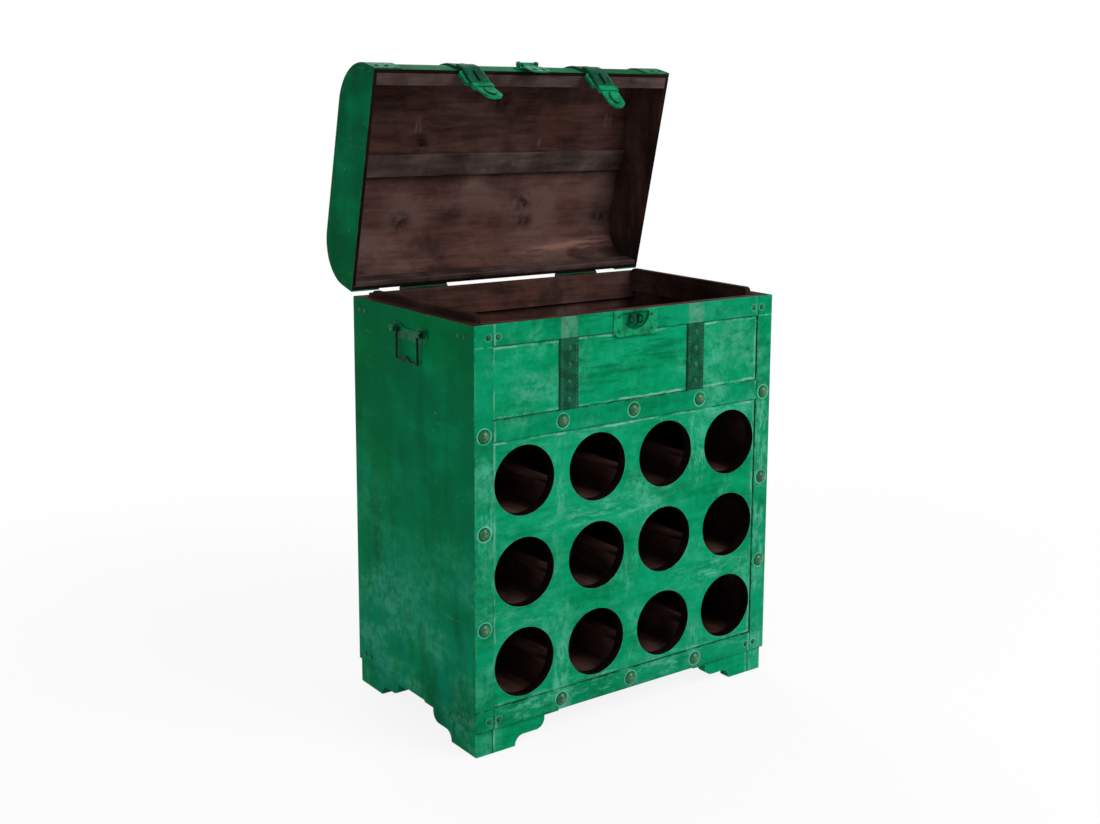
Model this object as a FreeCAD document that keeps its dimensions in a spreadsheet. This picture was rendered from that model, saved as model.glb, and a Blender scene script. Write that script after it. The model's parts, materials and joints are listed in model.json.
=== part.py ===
# Wine chest: a rack for lying bottles under a lidded chest, standing on bracket feet.
# The frame has +X to the right of someone who faces the front, +Y to the back and +Z up.
# The origin is on the floor, under the middle of the part as it stands with its lid open.
import FreeCAD
import Part
import Sketcher
import math
import os
import re

# Driving dimensions in millimetres, and the lid's angle in degrees.
SIZES = {
    # carcass boards
    "carcass_width": 462.0,
    "carcass_depth": 288.0,
    "carcass_height": 487.0,
    "carcass_centre_y": -29.0,
    "wall_thick": 16.0,
    "front_thick": 14.0,
    "back_thick": 12.0,
    "bottom_thick": 16.0,
    "board_thick": 12.0,
    # bottle rack
    "bottle_hole": 85.0,
    "bottle_pitch_z": 112.0,
    "bottle_first_row": 73.5,
    "shelf_drop": 4.5,
    "row_headroom": 3.0,
    "batten_width": 25.0,
    "batten_height": 32.0,
    # lip battens inside the chest
    "lip_thick": 9.0,
    "lip_drop": 25.0,
    "lip_rise": 8.5,
    "lip_front_gap": 22.5,
    "lip_round": 6.0,
    "rear_batten_height": 38.5,
    "rear_batten_rise": 4.5,
    # bracket feet
    "foot_height": 32.0,
    "foot_thick": 17.0,
    "foot_inset": 2.0,
    "foot_flat": 56.0,
    "foot_step": 12.5,
    "foot_reach": 99.0,
    "foot_nib_reach": 120.0,
    "foot_nib_thick": 4.0,
    "foot_cove": 11.5,
    "foot_round": 13.0,
    # bands on the front
    "band_width": 26.0,
    "edge_band_width": 25.0,
    "band_thick": 2.0,
    "middle_band_rise": 6.0,
    # dome studs and nails
    "stud_diameter": 16.0,
    "stud_height": 5.0,
    "stud_edge_inset": 12.5,
    "stud_column_first": 126.0,
    "stud_column_pitch": 116.0,
    "nail_diameter": 7.0,
    "nail_height": 2.0,
    "nail_inset": 18.5,
    "nail_pitch": 13.5,
    "nail_from_rim": 15.0,
    "nail_from_bottom": 11.0,
    # straps
    "strap_spread": 99.0,
    "strap_width": 27.0,
    "front_strap_thick": 2.5,
    "strap_stud_diameter": 8.0,
    "strap_stud_height": 2.0,
    "strap_stud_pitch": 21.0,
    "lid_strap_thick": 2.5,
    "lid_strap_rear_end": 23.0,
    "lid_strap_front_end": 1.0,
    "strap_fold": 13.0,
    "buckle_width": 37.0,
    "buckle_height": 24.0,
    "buckle_bar": 3.6,
    "buckle_depth": 4.5,
    "buckle_drop": 31.0,
    "flap_length": 76.0,
    "flap_top": 10.0,
    "flap_thick": 3.0,
    "flap_gap": 0.4,
    "flap_tip_round": 13.0,
    "keeper_height": 8.0,
    "keeper_wall": 1.5,
    "keeper_gap": 0.3,
    "keeper_below": 41.0,
    "prong_rod": 2.6,
    "prong_length": 19.0,
    # lock plate and staples
    "lock_width": 68.0,
    "lock_height": 32.0,
    "lock_thick": 1.5,
    "lock_corner": 6.0,
    "recess_radius": 21.5,
    "recess_drop": 3.0,
    "lock_nail_diameter": 4.5,
    "lock_nail_height": 1.2,
    "lock_nail_inset": 8.5,
    "lock_nail_drop": 7.0,
    "staple_out": 11.2,
    "staple_height": 10.8,
    "staple_clip": 3.4,
    "staple_bar": 2.4,
    "staple_spread": 6.5,
    "staple_drop": 11.5,
    # hasp
    "hasp_out": 5.2,
    "hasp_up": 15.0,
    "hasp_pin": 3.4,
    "hasp_knuckle": 3.4,
    "hasp_knuckle_length": 17.0,
    "hasp_plate_width": 30.0,
    "hasp_plate_length": 37.0,
    "hasp_plate_thick": 2.0,
    "hasp_corner": 8.0,
    "hasp_neck": 8.5,
    "hasp_flare": 4.0,
    "slot_width": 6.5,
    "slot_length": 13.0,
    "slot_spread": 6.5,
    "slot_drop": 20.5,
    "post_spread": 13.5,
    "post_radius": 3.0,
    "post_length": 9.5,
    "post_head": 3.8,
    "post_head_length": 6.0,
    "post_head_slope": 1.5,
    "bracket_width": 36.0,
    "bracket_height": 9.5,
    "bracket_thick": 1.5,
    # side handles
    "handle_below_rim": 24.5,
    "handle_back": -3.0,
    "handle_stand": 6.0,
    "handle_rod": 3.5,
    "handle_half_span": 25.0,
    "handle_drop": 37.0,
    "handle_peak": 5.0,
    "handle_peak_half": 9.0,
    "handle_pin": 8.0,
    "eye_half_span": 32.0,
    "eye_width": 8.0,
    "eye_radius": 4.8,
    "eye_mouth": 7.0,
    "eye_mouth_depth": 4.5,
    "handle_plate_thick": 1.5,
    "handle_plate_half": 41.0,
    "handle_plate_rise": 6.5,
    "handle_plate_drop": 12.5,
    "handle_plate_slope": 7.0,
    "handle_plate_round": 4.0,
    "handle_lobe_width": 17.0,
    "handle_dip_half": 14.0,
    "handle_dip_rise": 1.5,
    # lid
    "lid_open_angle": 76.2,
    "lid_height": 80.0,
    "lid_overhang": 2.0,
    "lid_gap": 0.5,
    "shoulder_front": 60.0,
    "shoulder_rear": 54.0,
    "skin_thick": 5.0,
    "lid_end_thick": 5.0,
    "lid_fit": 0.2,
    "rail_thick": 15.5,
    "rear_rail_thick": 6.0,
    "rail_height": 19.5,
    "rib_width": 30.0,
    "rib_thick": 10.0,
    "lid_band_width": 40.0,
    "lid_band_thick": 1.6,
    "lid_nail_up": 12.0,
    # hinges
    "hinge_out": 4.0,
    "hinge_up": 3.5,
    "hinge_inset": 106.0,
    "hinge_length": 70.0,
    "knuckle_radius": 3.2,
    "hinge_pin": 3.0,
    "leaf_thick": 1.6,
    "leaf_height": 14.0,
    "knuckle_gap": 0.3,
    "running_gap": 0.05,
}

COLUMNS = 4
ROWS = 3
KNUCKLES = 3
COLUMN_STUDS = 3
SIDES = {"left": -1, "right": 1}
# Sides of round pieces that repeat, and where a dome's rings lie between its top (0) and its rim (1).
ROUND_FACETS = 12
STUD_RINGS = (1.0, 0.6, 0.2)
NAIL_FACETS = 8
NAIL_RINGS = (1.0, 0.35)

doc = FreeCAD.newDocument("WineChest")
sheet = doc.addObject("Spreadsheet::Sheet", "Sizes")
for number, (alias, size) in enumerate(SIZES.items(), start=1):
    sheet.set(f"A{number}", alias)
    sheet.set(f"B{number}", str(size))
    sheet.setAlias(f"B{number}", alias)
doc.recompute()

nodes = []


def formula(text):
    """Point each size named in a formula at its cell in the sheet."""
    return re.sub(r"[a-z_]+", lambda word: f"Sizes.{word[0]}" if word[0] in SIZES else word[0], text)


def value(text):
    """What a formula comes to now."""
    return float(sheet.evalExpression(formula(text)))


def bind(thing, name, text):
    thing.setExpression(name, formula(text))


def keep(thing, label):
    """Count a finished object as one of the sub-parts."""
    thing.Label = label
    nodes.append(thing)
    return thing


# Places that several pieces share, as formulas.
FRONT = "(carcass_centre_y - carcass_depth / 2)"
BACK = "(carcass_centre_y + carcass_depth / 2)"
INNER_FRONT = f"({FRONT} + front_thick)"
INNER_BACK = f"({BACK} - back_thick)"
INNER_DEPTH = "(carcass_depth - front_thick - back_thick)"
SIDE = "(carcass_width / 2)"
INNER_SIDE = "(carcass_width / 2 - wall_thick)"
INNER_WIDTH = "(carcass_width - 2 * wall_thick)"
RIM = "(foot_height + carcass_height)"
BAND_FACE = f"({FRONT} - band_thick)"


def row_height(row):
    """Height of a row of bottle holes above the floor."""
    return f"(foot_height + bottle_first_row + {row} * bottle_pitch_z)"


COLUMN_PITCH = f"({INNER_WIDTH} / {COLUMNS})"


def column_x(column):
    return f"(({column} - {(COLUMNS - 1) / 2}) * {COLUMN_PITCH})"


def shelf_top(row):
    return f"({row_height(row)} - bottle_hole / 2 - shelf_drop)"


COMPARTMENT_UNDER = f"({row_height(ROWS - 1)} + bottle_hole / 2 + row_headroom)"
MIDDLE_BAND = f"({COMPARTMENT_UNDER} + middle_band_rise)"
FRONT_JOINT = f"({MIDDLE_BAND} + band_width / 2)"

# The lid is drawn shut, in a frame of its own whose origin is on the hinge pins' line.
HINGE_Y = f"({BACK} + hinge_out)"
HINGE_Z = f"({RIM} + hinge_up)"
LID_REAR = "(-hinge_out)"
LID_FRONT = "(-hinge_out - carcass_depth)"
LID_RIM = "(lid_gap - hinge_up)"
LID_TOP = f"({LID_RIM} + lid_height)"
LID_SIDE = "(carcass_width / 2 + lid_overhang)"
LID_INSIDE = f"({LID_SIDE} - lid_end_thick)"


def place(thing, x, y, z):
    bind(thing, "Placement.Base.x", x)
    bind(thing, "Placement.Base.y", y)
    bind(thing, "Placement.Base.z", z)


def seat_on_lid(thing):
    """Turn a piece that is drawn on the shut lid to where the open lid holds it."""
    backwards = FreeCAD.Rotation(FreeCAD.Vector(-1, 0, 0), SIZES["lid_open_angle"])
    thing.Placement = FreeCAD.Placement(FreeCAD.Vector(), backwards)
    place(thing, "0", HINGE_Y, HINGE_Z)
    bind(thing, "Placement.Rotation.Angle", "lid_open_angle")
    return thing


def block(name, x, y, z, length, depth, height):
    """Box from its low corner."""
    box = doc.addObject("Part::Box", name)
    bind(box, "Length", length)
    bind(box, "Width", depth)
    bind(box, "Height", height)
    place(box, x, y, z)
    return box


AXES = {
    "X": FreeCAD.Rotation(FreeCAD.Vector(0, 1, 0), 90),
    "Y": FreeCAD.Rotation(FreeCAD.Vector(-1, 0, 0), 90),
}


def rod(name, axis, x, y, z, radius, length):
    """Cylinder along X or Y from the middle of its low end."""
    cylinder = doc.addObject("Part::Cylinder", name)
    cylinder.Placement.Rotation = AXES[axis]
    bind(cylinder, "Radius", radius)
    bind(cylinder, "Height", length)
    place(cylinder, x, y, z)
    return cylinder


def fuse(name, shapes):
    union = doc.addObject("Part::MultiFuse", name)
    union.Shapes = shapes
    return union


def cut(name, base, tool):
    difference = doc.addObject("Part::Cut", name)
    difference.Base = base
    difference.Tool = tool
    return difference


def group(label, shapes):
    """Node of several separate solids."""
    compound = doc.addObject("Part::Compound", label)
    compound.Links = shapes
    return keep(compound, label)


def new_sketch(body, plane, name, start):
    """Sketch on an origin plane of its body, moved along the plane's normal to start."""
    sketch = body.newObject("Sketcher::SketchObject", name)
    support = [feature for feature in body.Origin.OriginFeatures if feature.Role == f"{plane}_Plane"]
    sketch.AttachmentSupport = [(support[0], "")]
    sketch.MapMode = "FlatFace"
    bind(sketch, "AttachmentOffset.Base.z", f"-({start})" if plane == "XZ" else start)
    return sketch


def hold(sketch, kind, curve, point, text):
    """Dimension from the sketch's origin to a point."""
    constraint = Sketcher.Constraint(kind, -1, 1, curve, point, value(text))
    number = sketch.addConstraint(constraint)
    bind(sketch, f"Constraints[{number}]", text)


def add_outline(sketch, points):
    """Closed outline of straight lines with a formula for each corner's place."""
    corners = [FreeCAD.Vector(value(across), value(up), 0) for across, up in points]
    first = sketch.GeometryCount
    following = [first + (number + 1) % len(points) for number in range(len(points))]
    for number, corner in enumerate(corners):
        sketch.addGeometry(Part.LineSegment(corner, corners[following[number] - first]))
    for number, (across, up) in enumerate(points):
        sketch.addConstraint(Sketcher.Constraint("Coincident", first + number, 2, following[number], 1))
        hold(sketch, "DistanceX", first + number, 1, across)
        hold(sketch, "DistanceY", first + number, 1, up)


def corner_edges(feature, sketch, numbers):
    """Edges that a pad raises from the given corners of its sketch."""
    normal = sketch.Placement.Rotation.multVec(FreeCAD.Vector(0, 0, 1))
    corners = [sketch.Placement.multVec(sketch.Geometry[number].StartPoint) for number in numbers]
    names = []
    for count, edge in enumerate(feature.Shape.Edges, start=1):
        ends = [vertex.Point for vertex in edge.Vertexes]
        for corner in corners:
            if len(ends) == 2 and all((end - corner).cross(normal).Length < 1e-4 for end in ends):
                names.append(f"Edge{count}")
    return names


def plate(name, plane, outline, start, depth, windows=()):
    """Body padded along +X, +Y or +Z from an outline with windows; a corner's third entry rounds it."""
    body = doc.addObject("PartDesign::Body", name)
    sketch = new_sketch(body, plane, f"{name}_outline", start)
    rounds = {}
    for points in (outline, *windows):
        for number, corner in enumerate(points, start=sketch.GeometryCount):
            for radius in corner[2:]:
                rounds.setdefault(radius, []).append(number)
        add_outline(sketch, [corner[:2] for corner in points])
    tip = body.newObject("PartDesign::Pad", f"{name}_pad")
    tip.Profile = sketch
    tip.Reversed = plane == "XZ"
    bind(tip, "Length", depth)
    doc.recompute()
    for count, (radius, numbers) in enumerate(rounds.items()):
        fillet = body.newObject("PartDesign::Fillet", f"{name}_round_{count}")
        fillet.Base = (tip, corner_edges(tip, sketch, numbers))
        bind(fillet, "Radius", radius)
        doc.recompute()
        tip = fillet
    return body


def rectangle(low_across, low_up, high_across, high_up, low_round=(), high_round=()):
    """Outline of a rectangle; a round is the radius, in brackets, of its lower or upper corners."""
    return [
        (low_across, low_up, *low_round),
        (high_across, low_up, *low_round),
        (high_across, high_up, *high_round),
        (low_across, high_up, *high_round),
    ]


FACINGS = {
    "front": FreeCAD.Rotation(FreeCAD.Vector(1, 0, 0), 90),
    "left": FreeCAD.Rotation(FreeCAD.Vector(0, -1, 0), 90),
    "right": FreeCAD.Rotation(FreeCAD.Vector(0, 1, 0), 90),
}


def turned(name, x, y, z, facing, profile, facets):
    """Round piece with a few flat sides that stands on a face, from its radius at each height."""
    angles = [2 * math.pi * count / facets for count in range(facets)]
    rings = []
    for radius, height in profile:
        corners = [FreeCAD.Vector(radius * math.cos(a), radius * math.sin(a), height) for a in angles]
        rings.append(corners + corners[:1])
    outlines = [rings[0], rings[-1]]
    for low, high in zip(rings, rings[1:]):
        for side in range(facets):
            outlines.append([low[side], low[side + 1], high[side + 1], high[side], low[side]])
    shell = Part.makeShell([Part.Face(Part.makePolygon(outline)) for outline in outlines])
    piece = doc.addObject("Part::Feature", name)
    piece.Shape = Part.makeSolid(shell)
    piece.Placement.Rotation = FACINGS[facing]
    place(piece, x, y, z)
    return piece


def dome(name, x, y, z, diameter, height, facing, facets=NAIL_FACETS, rings=NAIL_RINGS):
    """Cap of a ball with its flat side at the given place."""
    width = value(diameter)
    rise = value(height)
    ball = (width ** 2 / 4 + rise ** 2) / (2 * rise)
    rim = math.acos(1 - rise / ball)
    profile = [(ball * math.sin(ring * rim), rise - ball + ball * math.cos(ring * rim)) for ring in rings]
    return turned(name, x, y, z, facing, profile, facets)


# Carcass boards
for side, sign in SIDES.items():
    low_x = f"-{SIDE}" if sign < 0 else INNER_SIDE
    panel = block(
        f"side_panel_{side}", low_x, FRONT, "foot_height", "wall_thick", "carcass_depth", "carcass_height"
    )
    keep(panel, f"side_panel_{side}")


def inner_board(label, y, z, depth, height):
    """Board that runs from one side panel to the other."""
    return keep(block(label, f"-{INNER_SIDE}", y, z, INNER_WIDTH, depth, height), label)


inner_board("back_panel", INNER_BACK, "foot_height", "back_thick", "carcass_height")
inner_board("front_board_upper", FRONT, FRONT_JOINT, "front_thick", f"{RIM} - {FRONT_JOINT}")
inner_board("bottom_board", INNER_FRONT, f"{shelf_top(0)} - bottom_thick", INNER_DEPTH, "bottom_thick")
inner_board("bottle_shelf_middle", INNER_FRONT, f"{shelf_top(1)} - board_thick", INNER_DEPTH, "board_thick")
inner_board("bottle_shelf_upper", INNER_FRONT, f"{shelf_top(2)} - board_thick", INNER_DEPTH, "board_thick")
inner_board("compartment_floor", INNER_FRONT, COMPARTMENT_UNDER, INNER_DEPTH, "board_thick")


# Board with the bottle holes
def make_bottle_front():
    name = "bottle_front"
    face = rectangle(f"-{INNER_SIDE}", "foot_height", INNER_SIDE, FRONT_JOINT)
    body = plate(name, "XZ", face, FRONT, "front_thick")
    solid_volume = body.Shape.Volume
    sketch = new_sketch(body, "XZ", "bottle_hole_outline", FRONT)
    centre = FreeCAD.Vector(value(column_x(0)), value(row_height(0)), 0)
    circle = sketch.addGeometry(Part.Circle(centre, FreeCAD.Vector(0, 0, 1), value("bottle_hole / 2")))
    hold(sketch, "DistanceX", circle, 3, column_x(0))
    hold(sketch, "DistanceY", circle, 3, row_height(0))
    size = sketch.addConstraint(Sketcher.Constraint("Diameter", circle, value("bottle_hole")))
    bind(sketch, f"Constraints[{size}]", "bottle_hole")
    hole = body.newObject("PartDesign::Pocket", "bottle_hole_pocket")
    hole.Profile = sketch
    hole.Type = "ThroughAll"
    hole.Midplane = True
    across = body.newObject("PartDesign::LinearPattern", "bottle_columns")
    across.Direction = (sketch, ["H_Axis"])
    across.Occurrences = COLUMNS
    bind(across, "Length", f"{COLUMNS - 1} * {COLUMN_PITCH}")
    up = body.newObject("PartDesign::LinearPattern", "bottle_rows")
    up.Direction = (sketch, ["V_Axis"])
    up.Occurrences = ROWS
    bind(up, "Length", f"{ROWS - 1} * bottle_pitch_z")
    grid = body.newObject("PartDesign::MultiTransform", "bottle_hole_grid")
    grid.Originals = [hole]
    grid.Transformations = [across, up]
    body.Tip = grid
    doc.recompute()
    holes = COLUMNS * ROWS * math.pi * value("bottle_hole") ** 2 / 4 * value("front_thick")
    if abs(solid_volume - holes - body.Shape.Volume) > 1:
        raise RuntimeError("the bottle holes aren't all cut through")
    return keep(body, name)


make_bottle_front()

# Battens that keep the lying bottles apart, three on each shelf
battens = []
for row in range(ROWS):
    for gap in range(COLUMNS - 1):
        middle = f"({column_x(gap)} + {COLUMN_PITCH} / 2)"
        batten = block(
            f"bottle_batten_{row}_{gap}",
            f"{middle} - batten_width / 2",
            INNER_FRONT,
            shelf_top(row),
            "batten_width",
            INNER_DEPTH,
            "batten_height",
        )
        battens.append(batten)
group("bottle_battens", battens)

# Lip battens that stand above the rim inside the side panels and the back
for side, sign in SIDES.items():
    ends = rectangle(
        f"{FRONT} + lip_front_gap",
        f"{RIM} - lip_drop",
        f"{INNER_BACK} - lip_thick",
        f"{RIM} + lip_rise",
        high_round=("lip_round",),
    )
    low_x = f"-{INNER_SIDE}" if sign < 0 else f"{INNER_SIDE} - lip_thick"
    lip = plate(f"lip_batten_{side}", "YZ", ends, low_x, "lip_thick")
    keep(lip, f"lip_batten_{side}")
rear_lip_low = f"{RIM} + rear_batten_rise - rear_batten_height"
inner_board("lip_batten_rear", f"{INNER_BACK} - lip_thick", rear_lip_low, "lip_thick", "rear_batten_height")


# Bracket feet: a front or rear bracket covers the corner, and a side bracket butts against it
def bracket_outline(corner, way, begin):
    """Foot bracket from its corner inwards: flat sole, cove, round and a thin nib at the top."""
    def at(reach):
        return f"({corner} + {way} * ({reach}))"
    nib = "(foot_height - foot_nib_thick)"
    return [
        (at(begin), "0"),
        (at("foot_flat"), "0"),
        (at("foot_flat"), "foot_step", "foot_cove"),
        (at("foot_reach"), "foot_step", "foot_round"),
        (at("foot_reach"), nib),
        (at("foot_nib_reach"), nib),
        (at("foot_nib_reach"), "foot_height"),
        (at(begin), "foot_height"),
    ]


for end, way_y in {"front": 1, "rear": -1}.items():
    corner_y = f"({FRONT} + foot_inset)" if way_y > 0 else f"({BACK} - foot_inset)"
    low_y = corner_y if way_y > 0 else f"({corner_y} - foot_thick)"
    for side, sign in SIDES.items():
        corner_x = f"({sign} * ({SIDE} - foot_inset))"
        low_x = corner_x if sign < 0 else f"({corner_x} - foot_thick)"
        face = plate(
            f"foot_{end}_{side}_face",
            "XZ",
            bracket_outline(corner_x, -sign, "0"),
            low_y,
            "foot_thick",
        )
        keep(face, f"foot_{end}_{side}_face")
        flank = plate(
            f"foot_{end}_{side}_flank",
            "YZ",
            bracket_outline(corner_y, way_y, "foot_thick"),
            low_x,
            "foot_thick",
        )
        keep(flank, f"foot_{end}_{side}_flank")


# Bands over the front's joints
def front_band(name, low_x, low_z, high_x, high_z):
    return block(
        name, low_x, BAND_FACE, low_z, f"{high_x} - ({low_x})", "band_thick", f"{high_z} - ({low_z})"
    )


BETWEEN_EDGES = f"({SIDE} - edge_band_width)"
BOTTOM_BAND_TOP = "(foot_height + band_width)"
TOP_BAND = f"({RIM} - band_width)"
keep(front_band("band_bottom", f"-{SIDE}", "foot_height", SIDE, BOTTOM_BAND_TOP), "band_bottom")
keep(front_band("band_left", f"-{SIDE}", BOTTOM_BAND_TOP, f"-{BETWEEN_EDGES}", RIM), "band_left")
keep(front_band("band_right", BETWEEN_EDGES, BOTTOM_BAND_TOP, SIDE, RIM), "band_right")
MIDDLE_BAND_TOP = f"({MIDDLE_BAND} + band_width)"
band = front_band("band_middle", f"-{BETWEEN_EDGES}", MIDDLE_BAND, BETWEEN_EDGES, MIDDLE_BAND_TOP)
keep(band, "band_middle")

# The top band and the lock plate on it share a half-round recess for the staples
RECESS_TOP = f"({RIM} - recess_drop)"


def recess_tool(name, low_y, depth):
    """Lower half of a disc, standing across the front."""
    half = rod(name, "Y", "0", low_y, RECESS_TOP, "recess_radius", depth)
    half.Angle = 180
    return half


band = front_band("band_top_strip", f"-{BETWEEN_EDGES}", TOP_BAND, BETWEEN_EDGES, RIM)
keep(cut("band_top", band, recess_tool("band_recess", BAND_FACE, "band_thick")), "band_top")
LOCK_FACE = f"({BAND_FACE} - lock_thick)"
LOCK_LOW = f"({RIM} - lock_height)"
lock_outline = [
    ("-lock_width / 2 + lock_corner", LOCK_LOW),
    ("lock_width / 2 - lock_corner", LOCK_LOW),
    ("lock_width / 2", f"{LOCK_LOW} + lock_corner"),
    ("lock_width / 2", RIM),
    ("-lock_width / 2", RIM),
    ("-lock_width / 2", f"{LOCK_LOW} + lock_corner"),
]
lock_blank = plate("lock_blank", "XZ", lock_outline, LOCK_FACE, "lock_thick")
keep(cut("lock_plate", lock_blank, recess_tool("lock_recess", LOCK_FACE, "lock_thick")), "lock_plate")


def make_staple(side, sign):
    """Flat loop that stands out of the front board, with clipped outer corners."""
    def loop(inset):
        near = f"({FRONT} - staple_out + {inset})"
        middle = f"({RIM} - staple_drop)"
        half = f"(staple_height / 2 - {inset})"
        clip = f"(staple_clip - {inset} / 2)"
        foot = f"({FRONT} - {inset})"
        return [
            (f"{near} + {clip}", f"{middle} - {half}"),
            (foot, f"{middle} - {half}"),
            (foot, f"{middle} + {half}"),
            (f"{near} + {clip}", f"{middle} + {half}"),
            (near, f"{middle} + {half} - {clip}"),
            (near, f"{middle} - {half} + {clip}"),
        ]
    low_x = f"{sign} * staple_spread - staple_bar / 2"
    return plate(f"lock_staple_{side}", "YZ", loop("0"), low_x, "staple_bar", windows=[loop("staple_bar")])


staples = [make_staple(side, sign) for side, sign in SIDES.items()]
group("lock_staples", staples)

# Straps on the upper front, between the top and the middle band
STRAP_LOW = MIDDLE_BAND_TOP
STRAP_FACE = f"({FRONT} - front_strap_thick)"
STRAP_LENGTH = f"({TOP_BAND} - {STRAP_LOW})"
STRAP_STUDS = max(1, int(value(f"{STRAP_LENGTH} / strap_stud_pitch")))
strap_studs = []
for side, sign in SIDES.items():
    strap = block(
        f"front_strap_{side}",
        f"{sign} * strap_spread - strap_width / 2",
        STRAP_FACE,
        STRAP_LOW,
        "strap_width",
        "front_strap_thick",
        STRAP_LENGTH,
    )
    keep(strap, f"front_strap_{side}")
    for count in range(STRAP_STUDS):
        stud = dome(
            f"front_strap_stud_{side}_{count}",
            f"{sign} * strap_spread",
            STRAP_FACE,
            f"({TOP_BAND} + {STRAP_LOW}) / 2 + ({count} - {(STRAP_STUDS - 1) / 2}) * strap_stud_pitch",
            "strap_stud_diameter",
            "strap_stud_height",
            "front",
        )
        strap_studs.append(stud)
group("front_strap_studs", strap_studs)

# Dome studs on the bands
studs = []
stud_places = []
for sign in SIDES.values():
    for count in range(COLUMN_STUDS):
        height = f"foot_height + stud_column_first + {count} * stud_column_pitch"
        stud_places.append((f"{sign} * ({SIDE} - stud_edge_inset)", height))
for across in (-1, 0, 1):
    stud_places.append((f"{across} * {COLUMN_PITCH}", f"{MIDDLE_BAND} + band_width / 2"))
    stud_places.append((f"{across} * {COLUMN_PITCH}", "foot_height + band_width / 2"))
for count, (x, z) in enumerate(stud_places):
    stud = dome(
        f"dome_stud_{count}",
        x,
        BAND_FACE,
        z,
        "stud_diameter",
        "stud_height",
        "front",
        ROUND_FACETS,
        STUD_RINGS,
    )
    studs.append(stud)
group("dome_studs", studs)

# Pairs of nails at the corners of the front and of both sides
nails = []
for side, sign in SIDES.items():
    for level, z in {"top": f"{RIM} - nail_from_rim", "bottom": "foot_height + nail_from_bottom"}.items():
        for count in range(2):
            inset = f"(nail_inset + {count} * nail_pitch)"
            name = f"{side}_{level}_{count}"
            face = f"{sign} * {SIDE}"
            spots = {
                "front": (f"{face} - {sign} * {inset}", BAND_FACE, "front"),
                "fore": (face, f"{FRONT} + {inset}", side),
                "aft": (face, f"{BACK} - {inset}", side),
            }
            for spot, (x, y, facing) in spots.items():
                nails.append(dome(f"nail_{spot}_{name}", x, y, z, "nail_diameter", "nail_height", facing))
    for level, z in {"top": f"{RIM} - lock_nail_drop", "bottom": f"{LOCK_LOW} + lock_nail_drop"}.items():
        x = f"{sign} * (lock_width / 2 - lock_nail_inset)"
        nail = dome(
            f"nail_lock_{side}_{level}", x, LOCK_FACE, z, "lock_nail_diameter", "lock_nail_height", "front"
        )
        nails.append(nail)
group("corner_nails", nails)


# Side handles: a lobed plate with two eyes, and a bail whose pins turn in them
HANDLE_Y = "(carcass_centre_y + handle_back)"
HANDLE_Z = f"({RIM} - handle_below_rim)"


def outwards(sign, near, far):
    """Low X of a piece that lies from near to far outside a side panel's face."""
    return f"({SIDE} + {near})" if sign > 0 else f"(-{SIDE} - ({far}))"


def make_handle_plate(side, sign):
    """Plate whose top dips between two raised ends, with an open-mouthed eye at each end."""
    name = f"handle_plate_{side}"
    pivot_x = f"({sign} * ({SIDE} + handle_stand))"
    neck_x = outwards(sign, "0", "handle_stand")
    half = [
        ("handle_dip_half", "handle_dip_rise"),
        ("(handle_plate_half - handle_lobe_width)", "handle_plate_rise"),
        ("handle_plate_half", "handle_plate_rise", "handle_plate_round"),
        ("handle_plate_half", "(handle_plate_slope - handle_plate_drop)"),
        ("(handle_plate_half - handle_plate_slope)", "(-handle_plate_drop)"),
    ]
    left = [(f"{HANDLE_Y} - {y}", f"{HANDLE_Z} + {z}", *radius) for y, z, *radius in half]
    right = [(f"{HANDLE_Y} + {y}", f"{HANDLE_Z} + {z}", *radius) for y, z, *radius in half]
    back = plate(
        f"{name}_back",
        "YZ",
        left + right[::-1],
        outwards(sign, "0", "handle_plate_thick"),
        "handle_plate_thick",
    )
    shapes = [back]
    bores = []
    for end in (-1, 1):
        eye_y = f"({HANDLE_Y} + {end} * eye_half_span)"
        low_y = f"({eye_y} - eye_width / 2)"
        shapes.append(
            block(
                f"{name}_neck_{end + 1}",
                neck_x,
                low_y,
                f"{HANDLE_Z} - eye_radius",
                "handle_stand",
                "eye_width",
                "2 * eye_radius",
            )
        )
        high_y = f"({low_y} + eye_width)"
        tube = [(value("eye_radius"), 0), (value("eye_radius"), value("eye_width"))]
        shapes.append(turned(f"{name}_eye_{end + 1}", pivot_x, high_y, HANDLE_Z, "front", tube, ROUND_FACETS))
        mouth_y = f"({low_y} + eye_mouth_depth)" if end < 0 else high_y
        mouth = [(value("eye_mouth / 2"), 0), (value("eye_mouth / 2"), value("eye_mouth_depth"))]
        mouth_name = f"{name}_mouth_{end + 1}"
        bores.append(turned(mouth_name, pivot_x, mouth_y, HANDLE_Z, "front", mouth, ROUND_FACETS))
        bore = "handle_rod / 2 + running_gap"
        bores.append(rod(f"{name}_bore_{end + 1}", "Y", pivot_x, low_y, HANDLE_Z, bore, "eye_width"))
    return keep(cut(name, fuse(f"{name}_solid", shapes), fuse(f"{name}_bores", bores)), name)


MITRED = 1


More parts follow.
